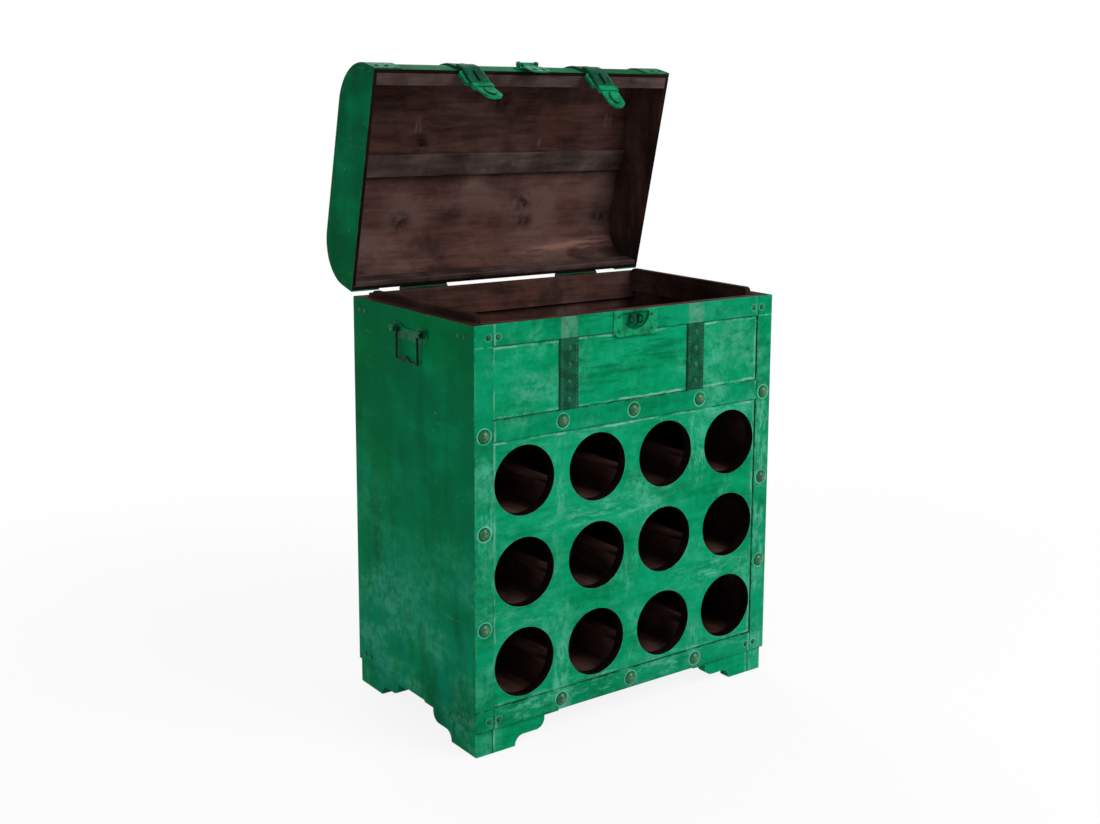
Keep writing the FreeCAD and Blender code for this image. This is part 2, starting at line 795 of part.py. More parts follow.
def make_handle_bail(side, sign):
    """Rod bent down from its two pins, with a low peak in the middle of its grip."""
    span = value("handle_half_span")
    drop = value("handle_drop")
    peak = value("handle_peak")
    foot = value("handle_peak_half")
    half = [
        (span + value("handle_pin"), 0),
        (span, 0),
        (span, -drop),
        (foot, -drop),
    ]
    points = [(-y, z) for y, z in half] + [(0, peak - drop)] + half[::-1]
    path = Part.makePolygon([FreeCAD.Vector(0, y, z) for y, z in points])
    radius = value("handle_rod / 2")
    angles = [2 * math.pi * (count + 0.5) / NAIL_FACETS for count in range(NAIL_FACETS + 1)]
    start = path.Vertexes[0].Point
    ring = [start + FreeCAD.Vector(radius * math.cos(a), 0, radius * math.sin(a)) for a in angles]
    bail = doc.addObject("Part::Feature", f"handle_bail_{side}")
    bail.Shape = path.makePipeShell([Part.makePolygon(ring)], True, False, MITRED)
    place(bail, f"{sign} * ({SIDE} + handle_stand)", HANDLE_Y, HANDLE_Z)
    return keep(bail, f"handle_bail_{side}")


for side, sign in SIDES.items():
    make_handle_plate(side, sign)
    make_handle_bail(side, sign)

# Lid boards, drawn shut
for side, sign in SIDES.items():
    end_front = f"{LID_FRONT} + skin_thick + lid_fit"
    end_rear = f"{LID_REAR} - skin_thick - lid_fit"
    end_top = f"{LID_TOP} - skin_thick - lid_fit"
    end_outline = [
        (end_front, LID_RIM),
        (end_rear, LID_RIM),
        (end_rear, end_top, "shoulder_rear - skin_thick - lid_fit"),
        (end_front, end_top, "shoulder_front - skin_thick - lid_fit"),
    ]
    lid_end = plate(
        f"lid_end_{side}",
        "YZ",
        end_outline,
        f"-{LID_SIDE}" if sign < 0 else LID_INSIDE,
        "lid_end_thick",
    )
    keep(seat_on_lid(lid_end), f"lid_end_{side}")


def lid_board(label, low_y, low_z, high_y, high_z):
    """Board between the two lid ends."""
    section = rectangle(low_y, low_z, high_y, high_z)
    body = plate(label, "YZ", section, f"-{LID_INSIDE}", f"2 * {LID_INSIDE}")
    return keep(seat_on_lid(body), label)


RAIL_TOP = f"{LID_RIM} + rail_height"
LID_MIDDLE = f"({LID_FRONT} + {LID_REAR}) / 2"
lid_board(
    "lid_front_rail",
    f"{LID_FRONT} + skin_thick",
    LID_RIM,
    f"{LID_FRONT} + skin_thick + rail_thick",
    RAIL_TOP,
)
lid_board(
    "lid_rear_rail",
    f"{LID_REAR} - skin_thick - rear_rail_thick",
    LID_RIM,
    f"{LID_REAR} - skin_thick",
    RAIL_TOP,
)
lid_board(
    "lid_rib",
    f"{LID_MIDDLE} - rib_width / 2",
    f"{LID_TOP} - skin_thick - rib_thick",
    f"{LID_MIDDLE} + rib_width / 2",
    f"{LID_TOP} - skin_thick",
)


def lid_wrap(name, low_x, width, inside, thick, front_end, rear_end):
    """Sheet bent over the shut lid from front to rear, a given way outside the lid's outer face."""
    outside = f"({inside} + {thick})"
    section = [
        (f"{LID_FRONT} - {outside}", front_end),
        (f"{LID_FRONT} - {inside}", front_end),
        (f"{LID_FRONT} - {inside}", f"{LID_TOP} + {inside}", f"shoulder_front + {inside}"),
        (f"{LID_REAR} + {inside}", f"{LID_TOP} + {inside}", f"shoulder_rear + {inside}"),
        (f"{LID_REAR} + {inside}", rear_end),
        (f"{LID_REAR} + {outside}", rear_end),
        (f"{LID_REAR} + {outside}", f"{LID_TOP} + {outside}", f"shoulder_rear + {outside}"),
        (f"{LID_FRONT} - {outside}", f"{LID_TOP} + {outside}", f"shoulder_front + {outside}"),
    ]
    return plate(name, "YZ", section, low_x, width)


skin = lid_wrap(
    "lid_top_skin", f"-{LID_SIDE}", f"2 * {LID_SIDE}", "(-skin_thick)", "skin_thick", LID_RIM, LID_RIM
)
keep(seat_on_lid(skin), "lid_top_skin")
STRAP_OUTER = f"({LID_FRONT} - lid_fit - lid_strap_thick)"
for side, sign in SIDES.items():
    low_x = f"-{LID_SIDE}" if sign < 0 else f"{LID_SIDE} - lid_band_width"
    band_name = f"lid_edge_band_{side}"
    band = lid_wrap(band_name, low_x, "lid_band_width", "lid_fit", "lid_band_thick", LID_RIM, LID_RIM)
    keep(seat_on_lid(band), band_name)
    low_x = f"{sign} * strap_spread - strap_width / 2"
    strap_end = f"{LID_RIM} + lid_strap_front_end"
    strap = lid_wrap(
        f"lid_strap_{side}_length",
        low_x,
        "strap_width",
        "lid_fit",
        "lid_strap_thick",
        strap_end,
        f"{LID_RIM} + lid_strap_rear_end",
    )
    fold = block(
        f"lid_strap_{side}_fold",
        low_x,
        f"{STRAP_OUTER} - buckle_depth",
        strap_end,
        "strap_width",
        "buckle_depth",
        "strap_fold",
    )
    keep(seat_on_lid(fuse(f"lid_strap_{side}", [strap, fold])), f"lid_strap_{side}")


# Pairs of nails on the front of the lid's edge bands
lid_nails = []
for side, sign in SIDES.items():
    for count in range(2):
        nail = dome(
            f"lid_nail_{side}_{count}",
            f"{sign} * ({LID_SIDE} - nail_inset / 2 - {count} * nail_pitch)",
            f"({LID_FRONT} - lid_fit - lid_band_thick)",
            f"{LID_RIM} + lid_nail_up",
            "nail_diameter",
            "nail_height",
            "front",
        )
        lid_nails.append(nail)
seat_on_lid(group("lid_nails", lid_nails))

# Buckles and loose strap ends that hang from the straps' folded ends at the lid's front edge
BUCKLE_LOW = f"({LID_RIM} - buckle_drop)"
BUCKLE_FACE = f"({STRAP_OUTER} - buckle_depth)"
FLAP_FACE = f"({BUCKLE_FACE} - flap_gap)"
FLAP_OUTER = f"({FLAP_FACE} - flap_thick)"
FLAP_TOP = f"({LID_RIM} + flap_top)"


def make_buckle(side, sign):
    """Frame with a bar across its middle, behind the loose strap end."""
    centre = f"{sign} * strap_spread"
    high = f"({BUCKLE_LOW} + buckle_height)"
    bar_low = f"({BUCKLE_LOW} + buckle_height / 2 - buckle_bar / 2)"
    left = f"({centre} - buckle_width / 2)"
    right = f"({centre} + buckle_width / 2)"
    frame = rectangle(left, BUCKLE_LOW, right, high, ("buckle_bar",), ("buckle_bar",))
    lower = rectangle(f"{left} + buckle_bar", f"{BUCKLE_LOW} + buckle_bar", f"{right} - buckle_bar", bar_low)
    upper = rectangle(
        f"{left} + buckle_bar", f"{bar_low} + buckle_bar", f"{right} - buckle_bar", f"{high} - buckle_bar"
    )
    buckle = plate(
        f"strap_buckle_{side}",
        "XZ",
        frame,
        BUCKLE_FACE,
        "buckle_depth",
        windows=[lower, upper],
    )
    return keep(seat_on_lid(buckle), f"strap_buckle_{side}")


def make_flap(side, sign):
    """Loose end of a strap with a rounded tongue."""
    centre = f"{sign} * strap_spread"
    outline = rectangle(
        f"{centre} - strap_width / 2",
        f"{LID_RIM} - flap_length",
        f"{centre} + strap_width / 2",
        FLAP_TOP,
        low_round=("flap_tip_round",),
    )
    flap = plate(f"strap_flap_{side}", "XZ", outline, FLAP_OUTER, "flap_thick")
    return keep(seat_on_lid(flap), f"strap_flap_{side}")


def make_flap_fittings(side, sign):
    """Keeper loop round a flap, and the buckle's prong that lies on it."""
    centre = f"{sign} * strap_spread"
    room = "(strap_width / 2 + keeper_gap)"
    outer = f"({room} + keeper_wall)"
    near = f"({FLAP_FACE} + keeper_gap)"
    far = f"({FLAP_OUTER} - keeper_gap)"
    around = rectangle(
        f"{centre} - {outer}",
        f"{far} - keeper_wall",
        f"{centre} + {outer}",
        f"{near} + keeper_wall",
        ("keeper_wall",),
        ("keeper_wall",),
    )
    loop = plate(
        f"strap_keeper_{side}",
        "XY",
        around,
        f"{LID_RIM} - keeper_below - keeper_height / 2",
        "keeper_height",
        windows=[rectangle(f"{centre} - {room}", far, f"{centre} + {room}", near)],
    )
    prong = plate(
        f"strap_prong_{side}",
        "XZ",
        rectangle(
            f"{centre} - prong_rod / 2",
            BUCKLE_LOW,
            f"{centre} + prong_rod / 2",
            f"{BUCKLE_LOW} + prong_length",
        ),
        f"{FLAP_OUTER} - prong_rod",
        "prong_rod",
    )
    fittings = group(f"strap_fittings_{side}", [loop, prong])
    return seat_on_lid(fittings)


for side, sign in SIDES.items():
    make_buckle(side, sign)
    make_flap(side, sign)
    make_flap_fittings(side, sign)

# Hasp: a bracket with two headed posts, a pin between them and a slotted plate that swings on it
HASP_Y = f"({LID_FRONT} - hasp_out)"
HASP_Z = f"({LID_RIM} + hasp_up)"


def make_hasp_bracket():
    name = "hasp_bracket"
    shapes = [
        block(
            f"{name}_base",
            "-bracket_width / 2",
            f"{LID_FRONT} - bracket_thick",
            f"{HASP_Z} - bracket_height / 2",
            "bracket_width",
            "bracket_thick",
            "bracket_height",
        )
    ]
    head = value("post_head")
    neck = value("post_radius")
    slope = value("post_head_slope")
    tip = value("post_length")
    base = tip - value("post_head_length")
    profile = [(neck, 0), (neck, base), (head, base + slope), (head, tip - slope), (head - slope, tip)]
    for side, sign in SIDES.items():
        x = f"{sign} * post_spread"
        shapes.append(turned(f"{name}_post_{side}", x, LID_FRONT, HASP_Z, "front", profile, NAIL_FACETS))
    reach = "(post_spread + post_radius)"
    bore = rod(f"{name}_bore", "X", f"-{reach}", HASP_Y, HASP_Z, "hasp_pin / 2 + running_gap", f"2 * {reach}")
    bracket = cut(name, fuse(f"{name}_solid", shapes), bore)
    return keep(seat_on_lid(bracket), name)


def make_hasp_pin():
    reach = "(post_spread + post_radius)"
    pin = rod("hasp_pin_rod", "X", f"-{reach}", HASP_Y, HASP_Z, "hasp_pin / 2", f"2 * {reach}")
    return seat_on_lid(group("hasp_pin", [pin]))


make_hasp_bracket()
make_hasp_pin()


def hasp_slot(sign):
    middle = f"({sign} * slot_spread)"
    high = f"({HASP_Z} - slot_drop)"
    return rectangle(
        f"{middle} - slot_width / 2", f"{high} - slot_length", f"{middle} + slot_width / 2", high
    )


def make_hasp_plate():
    """Knuckle round the pin with a slotted plate that widens below the posts."""
    neck_top = f"{HASP_Z} - hasp_knuckle + hasp_plate_thick / 2"
    half = [
        ("hasp_knuckle_length / 2", neck_top),
        ("hasp_knuckle_length / 2", f"{HASP_Z} - hasp_neck"),
        ("hasp_plate_width / 2", f"{HASP_Z} - hasp_neck - hasp_flare"),
        ("hasp_plate_width / 2", f"{HASP_Z} - hasp_plate_length", "hasp_corner"),
    ]
    mirrored = [(f"-{x}", z, *radius) for x, z, *radius in half]
    leaf = plate(
        "hasp_leaf",
        "XZ",
        mirrored + half[::-1],
        f"{HASP_Y} - hasp_plate_thick / 2",
        "hasp_plate_thick",
        windows=[hasp_slot(-1), hasp_slot(1)],
    )
    low_x = "-hasp_knuckle_length / 2"
    knuckle = rod("hasp_knuckle_rod", "X", low_x, HASP_Y, HASP_Z, "hasp_knuckle", "hasp_knuckle_length")
    bore = rod(
        "hasp_knuckle_bore", "X", low_x, HASP_Y, HASP_Z, "hasp_pin / 2 + running_gap", "hasp_knuckle_length"
    )
    hasp = cut("hasp_plate", fuse("hasp_solid", [leaf, knuckle]), bore)
    return keep(seat_on_lid(hasp), "hasp_plate")


make_hasp_plate()


# Butt hinges on the back: leaves with knuckles in turn, and pins through them
def hinge_leaf(name, centre, turns, way):
    """Leaf drawn about the pin's line, below it (way -1) or above it (way 1)."""
    pitch = f"(hinge_length / {KNUCKLES})"
    clear = "(knuckle_radius + knuckle_gap)"
    start = f"({clear})" if way > 0 else f"(-{clear} - leaf_height)"
    shapes = [
        block(
            f"{name}_flap",
            f"{centre} - hinge_length / 2",
            "-hinge_out",
            start,
            "hinge_length",
            "leaf_thick",
            "leaf_height",
        )
    ]
    for turn in turns:
        low_x = f"({centre} - hinge_length / 2 + {turn} * {pitch} + knuckle_gap / 2)"
        length = f"({pitch} - knuckle_gap)"
        tab_z = "0" if way > 0 else f"-{clear}"
        shapes.append(block(f"{name}_tab_{turn}", low_x, "-hinge_out", tab_z, length, "leaf_thick", clear))
        barrel = [(value("knuckle_radius"), 0), (value("knuckle_radius"), value(length))]
        shapes.append(turned(f"{name}_knuckle_{turn}", low_x, "0", "0", "right", barrel, ROUND_FACETS))
    bore = rod(
        f"{name}_bore",
        "X",
        f"{centre} - hinge_length / 2",
        "0",
        "0",
        "hinge_pin / 2 + running_gap",
        "hinge_length",
    )
    return cut(name, fuse(f"{name}_solid", shapes), bore)


box_leaves = []
lid_leaves = []
pins = []
for side, sign in SIDES.items():
    centre = f"({sign} * ({SIDE} - hinge_inset))"
    box_leaves.append(hinge_leaf(f"hinge_box_leaf_{side}", centre, range(0, KNUCKLES, 2), -1))
    lid_leaves.append(hinge_leaf(f"hinge_lid_leaf_{side}", centre, range(1, KNUCKLES, 2), 1))
    pins.append(
        rod(
            f"hinge_pin_{side}", "X", f"{centre} - hinge_length / 2", HINGE_Y, HINGE_Z, "hinge_pin / 2",
            "hinge_length",
        )
    )
place(group("hinge_box_leaves", box_leaves), "0", HINGE_Y, HINGE_Z)
seat_on_lid(group("hinge_lid_leaves", lid_leaves))
group("hinge_pins", pins)

doc.recompute()

for thing in doc.Objects:
    if "Invalid" in thing.State or "Error" in thing.State:
        raise RuntimeError(f"{thing.Name} failed to build")
for node in nodes:
    if node.Shape.isNull() or not node.Shape.isValid() or not node.Shape.Solids:
        raise RuntimeError(f"{node.Label} has no sound solid")

os.makedirs("parts", exist_ok=True)
for node in nodes:
    node.Shape.exportStep(os.path.join("parts", f"{node.Label}.step"))
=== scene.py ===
# Looks for the wine chest: painted boards, stained insides, stitched straps and worn fittings.
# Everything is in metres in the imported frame: +X right, +Y back, +Z up, the lid standing open.
import json
import math

import bmesh
import bpy
from mathutils import Matrix, Vector


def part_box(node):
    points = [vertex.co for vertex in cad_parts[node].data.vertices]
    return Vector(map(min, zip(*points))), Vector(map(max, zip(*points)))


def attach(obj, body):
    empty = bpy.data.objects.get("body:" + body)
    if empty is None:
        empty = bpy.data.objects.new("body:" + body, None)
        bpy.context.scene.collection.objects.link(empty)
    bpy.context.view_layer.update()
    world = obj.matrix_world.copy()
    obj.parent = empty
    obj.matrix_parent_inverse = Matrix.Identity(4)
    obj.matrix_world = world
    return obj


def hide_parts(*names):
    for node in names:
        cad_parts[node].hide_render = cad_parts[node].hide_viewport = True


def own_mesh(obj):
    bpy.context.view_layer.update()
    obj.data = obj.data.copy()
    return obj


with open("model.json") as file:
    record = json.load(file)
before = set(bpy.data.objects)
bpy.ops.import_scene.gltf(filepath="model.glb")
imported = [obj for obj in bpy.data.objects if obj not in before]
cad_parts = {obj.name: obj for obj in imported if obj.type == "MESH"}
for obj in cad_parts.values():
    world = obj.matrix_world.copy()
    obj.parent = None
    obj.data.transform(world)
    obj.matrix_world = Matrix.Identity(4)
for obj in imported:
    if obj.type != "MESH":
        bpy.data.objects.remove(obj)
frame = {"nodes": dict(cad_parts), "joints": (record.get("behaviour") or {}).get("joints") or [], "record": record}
nodes = frame["nodes"]
body_of = {node: body for body, held in frame["record"]["behaviour"]["bodies"].items() for node in held}
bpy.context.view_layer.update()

MM = 0.001
SIDES = {"left": -1, "right": 1}
RIGHTWARD = Vector((1, 0, 0))

# The lid's pieces are worked on shut, in a frame on the hinge line, and are then turned open.
lid_joint = next(joint for joint in frame["joints"] if joint["name"] == "lid_hinge")
LID_ANGLE = math.radians(lid_joint["range_deg"][1])
LID_OPEN = Matrix.Translation(lid_joint["pos_m"]) @ Matrix.Rotation(-LID_ANGLE, 4, "X")
LID_SHUT = LID_OPEN.inverted()


def lid_box(node):
    """Lowest and highest corner of a lid node, in the shut lid's own frame."""
    corners = [LID_SHUT @ vertex.co for vertex in nodes[node].data.vertices]
    low = Vector([min(corner[axis] for corner in corners) for axis in range(3)])
    high = Vector([max(corner[axis] for corner in corners) for axis in range(3)])
    return low, high


# Places on the front that the paint follows.
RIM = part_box("front_board_upper")[1].z
HALF_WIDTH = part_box("side_panel_right")[1].x
EDGE_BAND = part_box("band_right")[0].x
BOTTOM_BAND_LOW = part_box("band_bottom")[0].z
BOTTOM_BAND_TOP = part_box("band_bottom")[1].z
MIDDLE_BAND_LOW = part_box("band_middle")[0].z
MIDDLE_BAND_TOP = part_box("band_middle")[1].z
TOP_BAND_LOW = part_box("band_top")[0].z
STRAP_X = (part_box("front_strap_right")[0].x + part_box("front_strap_right")[1].x) / 2
STRAP_HALF = (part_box("front_strap_right")[1].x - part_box("front_strap_right")[0].x) / 2
COLUMN_PITCH = 107.5 * MM
ROW_PITCH = 112 * MM
LOWEST_ROW = 105.5 * MM
STUD_PITCH = 116 * MM
LOWEST_STUD = 158 * MM
STUD_INSET = 12.5 * MM
STUD_HALO = 9.4 * MM
NAIL_X = HALF_WIDTH - 32 * MM
NAIL_PITCH = 13.5 * MM
NAIL_FROM_RIM = 15 * MM
NAIL_FROM_BOTTOM = 11 * MM
NAIL_HALO = 4.3 * MM


class Finish:
    """A procedural material, built up by short calls."""

    def __init__(self, name, roughness, shine):
        self.material = bpy.data.materials.new(name)
        self.material.use_nodes = True
        self.tree = self.material.node_tree
        self.shader = self.tree.nodes["Principled BSDF"]
        self.shader.inputs["Roughness"].default_value = roughness
        self.shader.inputs["Specular IOR Level"].default_value = shine
        self.place = self.add("ShaderNodeTexCoord").outputs["Object"]
        split = self.add("ShaderNodeSeparateXYZ", {"Vector": self.place})
        self.x, self.y, self.z = split.outputs

    def add(self, kind, inputs=None, **settings):
        node = self.tree.nodes.new(kind)
        for name, setting in settings.items():
            setattr(node, name, setting)
        for name, source in (inputs or {}).items():
            self.feed(node.inputs[name], source)
        return node

    def feed(self, socket, source):
        if isinstance(source, bpy.types.NodeSocket):
            self.tree.links.new(source, socket)
        else:
            socket.default_value = source

    def math(self, operation, first, second=0.0, clamp=False):
        node = self.add("ShaderNodeMath", {0: first, 1: second}, operation=operation, use_clamp=clamp)
        return node.outputs[0]

    def times(self, *masks):
        total = masks[0]
        for mask in masks[1:]:
            total = self.math("MULTIPLY", total, mask)
        return total

    def plus(self, first, second):
        return self.math("ADD", first, second)

    def less(self, first, second):
        return self.math("SUBTRACT", first, second)

    def apart(self, first, second):
        """How far apart two values are."""
        return self.math("ABSOLUTE", self.less(first, second))

    def either(self, *masks):
        total = masks[0]
        for mask in masks[1:]:
            total = self.math("MAXIMUM", total, mask)
        return total

    def step(self, source, low, high):
        """Smooth step from 0 at low to 1 at high."""
        node = self.add(
            "ShaderNodeMapRange",
            {"Value": source, "From Min": low, "From Max": high},
            interpolation_type="SMOOTHSTEP",
        )
        return node.outputs[0]

    def near(self, coordinate, spot, reach):
        """1 at a place on one axis, fading to 0 a reach away."""
        return self.step(self.apart(coordinate, spot), reach, 0.0)

    def wave(self, coordinate, first, pitch):
        """Distance to the nearest of evenly spaced places."""
        return self.math("PINGPONG", self.less(coordinate, first), pitch / 2)

    def span(self, across, up):
        """Length of a slanting distance."""
        squares = self.plus(self.times(across, across), self.times(up, up))
        return self.math("SQRT", squares)

    def ring(self, across, up, radius, width):
        return self.near(self.span(across, up), radius, width)

    def spot(self, centre, reach, long=1.0):
        """1 at a place on an upright face, fading out a reach away; long stretches it sideways."""
        across = self.math("DIVIDE", self.less(self.x, centre[0]), long)
        return self.step(self.span(across, self.less(self.z, centre[1])), reach, 0.0)

    def noise(self, scale, detail=4.0, roughness=0.55, stretch=(1, 1, 1), turn=(0, 0, 0), shift=0.0):
        mapping = self.add(
            "ShaderNodeMapping",
            {"Vector": self.place, "Scale": stretch, "Rotation": turn, "Location": (shift, shift, shift)},
        )
        texture = self.add(
            "ShaderNodeTexNoise",
            {"Vector": mapping.outputs[0], "Scale": scale, "Detail": detail, "Roughness": roughness},
        )
        return texture.outputs[0]

    def attribute(self, name):
        return self.add("ShaderNodeAttribute", attribute_name=name).outputs["Fac"]

    def ramp(self, source, *stops):
        node = self.add("ShaderNodeValToRGB", {"Fac": source})
        elements = node.color_ramp.elements
        while len(elements) < len(stops):
            elements.new(0.5)
        for element, (position, colour) in zip(elements, stops):
            element.position = position
            element.color = (*colour, 1.0)
        return node.outputs["Color"]

    def mix(self, amount, first, second):
        node = self.add("ShaderNodeMix", data_type="RGBA")
        for number, source in ((0, amount), (6, first), (7, second)):
            if isinstance(source, tuple):
                source = (*source, 1.0)
            self.feed(node.inputs[number], source)
        return node.outputs[2]

    def colour(self, source):
        self.feed(self.shader.inputs["Base Color"], source)

    def gloss(self, source, low, high):
        """Roughness from low to high as a pattern goes from 0 to 1."""
        node = self.add("ShaderNodeMapRange", {"Value": source, "To Min": low, "To Max": high})
        self.feed(self.shader.inputs["Roughness"], node.outputs[0])

    def relief(self, height, depth):
        bump = self.add("ShaderNodeBump", {"Height": height, "Distance": depth, "Strength": 1.0})
        self.feed(self.shader.inputs["Normal"], bump.outputs[0])


# Paint colours, as the share of light that a surface gives back.
EMERALD = (0.0012, 0.265, 0.106)
BRIGHT_GREEN = (0.004, 0.320, 0.150)
STAIN_GREEN = (0.0010, 0.195, 0.074)
SHADE_GREEN = (0.0008, 0.115, 0.042)
OLIVE_GREEN = (0.0015, 0.185, 0.036)
BLUE_GREEN = (0.0015, 0.190, 0.110)
CHALK = (0.120, 0.500, 0.350)
PALE_CHALK = (0.280, 0.640, 0.500)
GREY_CHALK = (0.130, 0.270, 0.205)
DUSTY_GREEN = (0.075, 0.330, 0.225)
# Painted shade for the gaps beside the bands and above the feet, and in the lock's recess, where it also stands
# for dirt.
SHADE_AND_DIRT_GREEN = (0.0008, 0.028, 0.013)
PAINT_SHINE = 0.012
WOOD_SHINE = 0.03


def toned(shade, depth):
    """A paint colour at another depth."""
    return tuple(part * depth for part in shade)


# Grey rubbed places on the upper front panels: across, up and reach.
PANEL_SCUFFS = ((-150, 442, 46), (-172, 412, 30), (168, 466, 46), (196, 440, 36))


def front_paint(name, depth):
    """Bright distressed paint of the front, rubbed chalky along the bands and between the holes."""
    paint = Finish(name, roughness=0.6, shine=PAINT_SHINE)
    across = paint.math("ABSOLUTE", paint.x)
    broad = paint.noise(6, 3)
    brush = paint.noise(15, 6, 0.62, stretch=(1, 1, 4))
    fine = paint.noise(95, 6, 0.68)
    tone = paint.plus(paint.plus(paint.times(broad, 0.40), paint.times(brush, 0.28)), paint.times(fine, 0.32))
    shades = ((0.40, STAIN_GREEN), (0.48, EMERALD), (0.58, BRIGHT_GREEN))
    colour = paint.ramp(tone, *[(spot, toned(shade, depth)) for spot, shade in shades])

    # Dark brush strokes of a second coat, strongest on the middle panel.
    middle_panel = paint.times(
        paint.step(across, STRAP_X, 0.6 * STRAP_X),
        paint.step(paint.z, MIDDLE_BAND_TOP, MIDDLE_BAND_TOP + 25 * MM),
    )
    strokes = paint.step(paint.noise(13, 8, 0.68, stretch=(1, 1, 10), shift=8.0), 0.48, 0.64)
    coat = paint.plus(paint.times(middle_panel, 0.40), 0.30)
    colour = paint.mix(paint.times(strokes, coat), colour, SHADE_GREEN)

    # Wavy coordinates, so that rubbed lines aren't ruled.
    sway = paint.times(paint.less(paint.noise(34, 4), 0.5), 8 * MM)
    wavy_x = paint.plus(paint.x, sway)
    wavy_z = paint.plus(paint.z, sway)
    wavy_across = paint.math("ABSOLUTE", wavy_x)

    # Dry chalk: level wisps between the rows of holes, upright patches between the columns, clouds above.
    rack = paint.step(paint.z, MIDDLE_BAND_LOW, MIDDLE_BAND_LOW - 4 * MM)
    level_wisps = paint.step(paint.noise(42, 9, 0.8, stretch=(1, 1, 3)), 0.46, 0.66)
    upright_wisps = paint.step(paint.noise(42, 9, 0.8, stretch=(3, 1, 1), shift=4.0), 0.44, 0.64)
    row_patches = paint.step(paint.noise(7, 3, 0.5, stretch=(1, 1, 2), shift=1.0), 0.40, 0.60)
    column_patches = paint.step(paint.noise(9, 3, 0.5, shift=6.0), 0.42, 0.58)
    rows = paint.step(paint.wave(wavy_z, LOWEST_ROW + ROW_PITCH / 2, ROW_PITCH), 28 * MM, 4 * MM)
    columns = paint.step(paint.wave(wavy_x, 0.0, COLUMN_PITCH), 17 * MM, 6 * MM)
    between = paint.either(
        paint.times(rows, row_patches, level_wisps),
        paint.times(columns, column_patches, upright_wisps),
    )
    clouds = paint.step(paint.noise(12, 6, 0.62, shift=3.0), 0.49, 0.68)
    off_middle = paint.less(0.55, paint.times(middle_panel, 0.5))
    scuffs = paint.times(clouds, paint.step(fine, 0.34, 0.62), off_middle)
    chalk = paint.either(paint.times(rack, between), scuffs)
    colour = paint.mix(paint.times(chalk, 0.75), colour, CHALK)
    rubs = [paint.spot((x * MM, z * MM), reach * MM, long=1.2) for x, z, reach in PANEL_SCUFFS]
    rubbed = paint.times(paint.either(*rubs), paint.step(brush, 0.38, 0.60), paint.step(fine, 0.32, 0.66))
    colour = paint.mix(paint.times(rubbed, 0.75), colour, DUSTY_GREEN)

    # Panel borders: a painted shadow in the gap beside each band and above the feet, and a broken pale line next
    # to it.
    borders = (MIDDLE_BAND_TOP, MIDDLE_BAND_LOW, TOP_BAND_LOW, BOTTOM_BAND_TOP)
    towards_panel = (1, -1, -1, 1)
    between_edges = paint.step(across, EDGE_BAND + MM, EDGE_BAND)
    pale_lines = [
        paint.near(wavy_z, place + 2.2 * MM * side, 2.6 * MM) for place, side in zip(borders, towards_panel)
    ]
    pale_lines.append(paint.times(paint.near(wavy_across, EDGE_BAND - 2.2 * MM, 2.6 * MM), 0.6))
    broken = paint.step(paint.noise(26, 7, 0.72, shift=5.0), 0.44, 0.62)
    pale_lines = paint.times(paint.either(*pale_lines), between_edges, broken)
    colour = paint.mix(paint.times(pale_lines, 0.6), colour, PALE_CHALK)
    # Painted shade: dark lines where the bands stand proud of the board, and over the feet.
    gap_shadows = [paint.times(paint.near(paint.z, place, 1.4 * MM), between_edges) for place in borders]
    gap_shadows += [paint.near(paint.z, place, 1.4 * MM) for place in (BOTTOM_BAND_TOP, BOTTOM_BAND_LOW)]
    gap_shadows.append(paint.times(paint.near(across, EDGE_BAND, 1.4 * MM), paint.step(paint.z, RIM, TOP_BAND_LOW)))
    broken_gap_shadows = paint.times(paint.either(*gap_shadows), paint.step(paint.noise(16, 4, 0.6, shift=7.0), 0.36, 0.52))
    colour = paint.mix(paint.times(broken_gap_shadows, 0.85), colour, SHADE_AND_DIRT_GREEN)
    corner_line = paint.times(
        paint.near(paint.z, TOP_BAND_LOW, 1.2 * MM), paint.step(across, EDGE_BAND, EDGE_BAND + MM)
    )
    colour = paint.mix(paint.times(corner_line, broken, 0.8), colour, PALE_CHALK)

    # The top band is rubbed grey where the straps cross it, and painted dark about the lock: painted shade of the
    # lock's recess, with dirt.
    under_strap = paint.step(paint.apart(across, STRAP_X), STRAP_HALF, STRAP_HALF - 3 * MM)
    top_band = paint.step(paint.z, TOP_BAND_LOW, TOP_BAND_LOW + MM)
    grey = paint.times(under_strap, top_band, paint.step(fine, 0.26, 0.62))
    colour = paint.mix(paint.times(grey, 0.5), colour, GREY_CHALK)
    # Painted shade in the lock's recess, with dirt about it.
    recess_shade_and_dirt = paint.times(paint.spot((0.0, RIM - 11 * MM), 30 * MM, long=1.1), paint.step(fine, 0.28, 0.50))
    colour = paint.mix(paint.times(recess_shade_and_dirt, 0.85), colour, SHADE_AND_DIRT_GREEN)

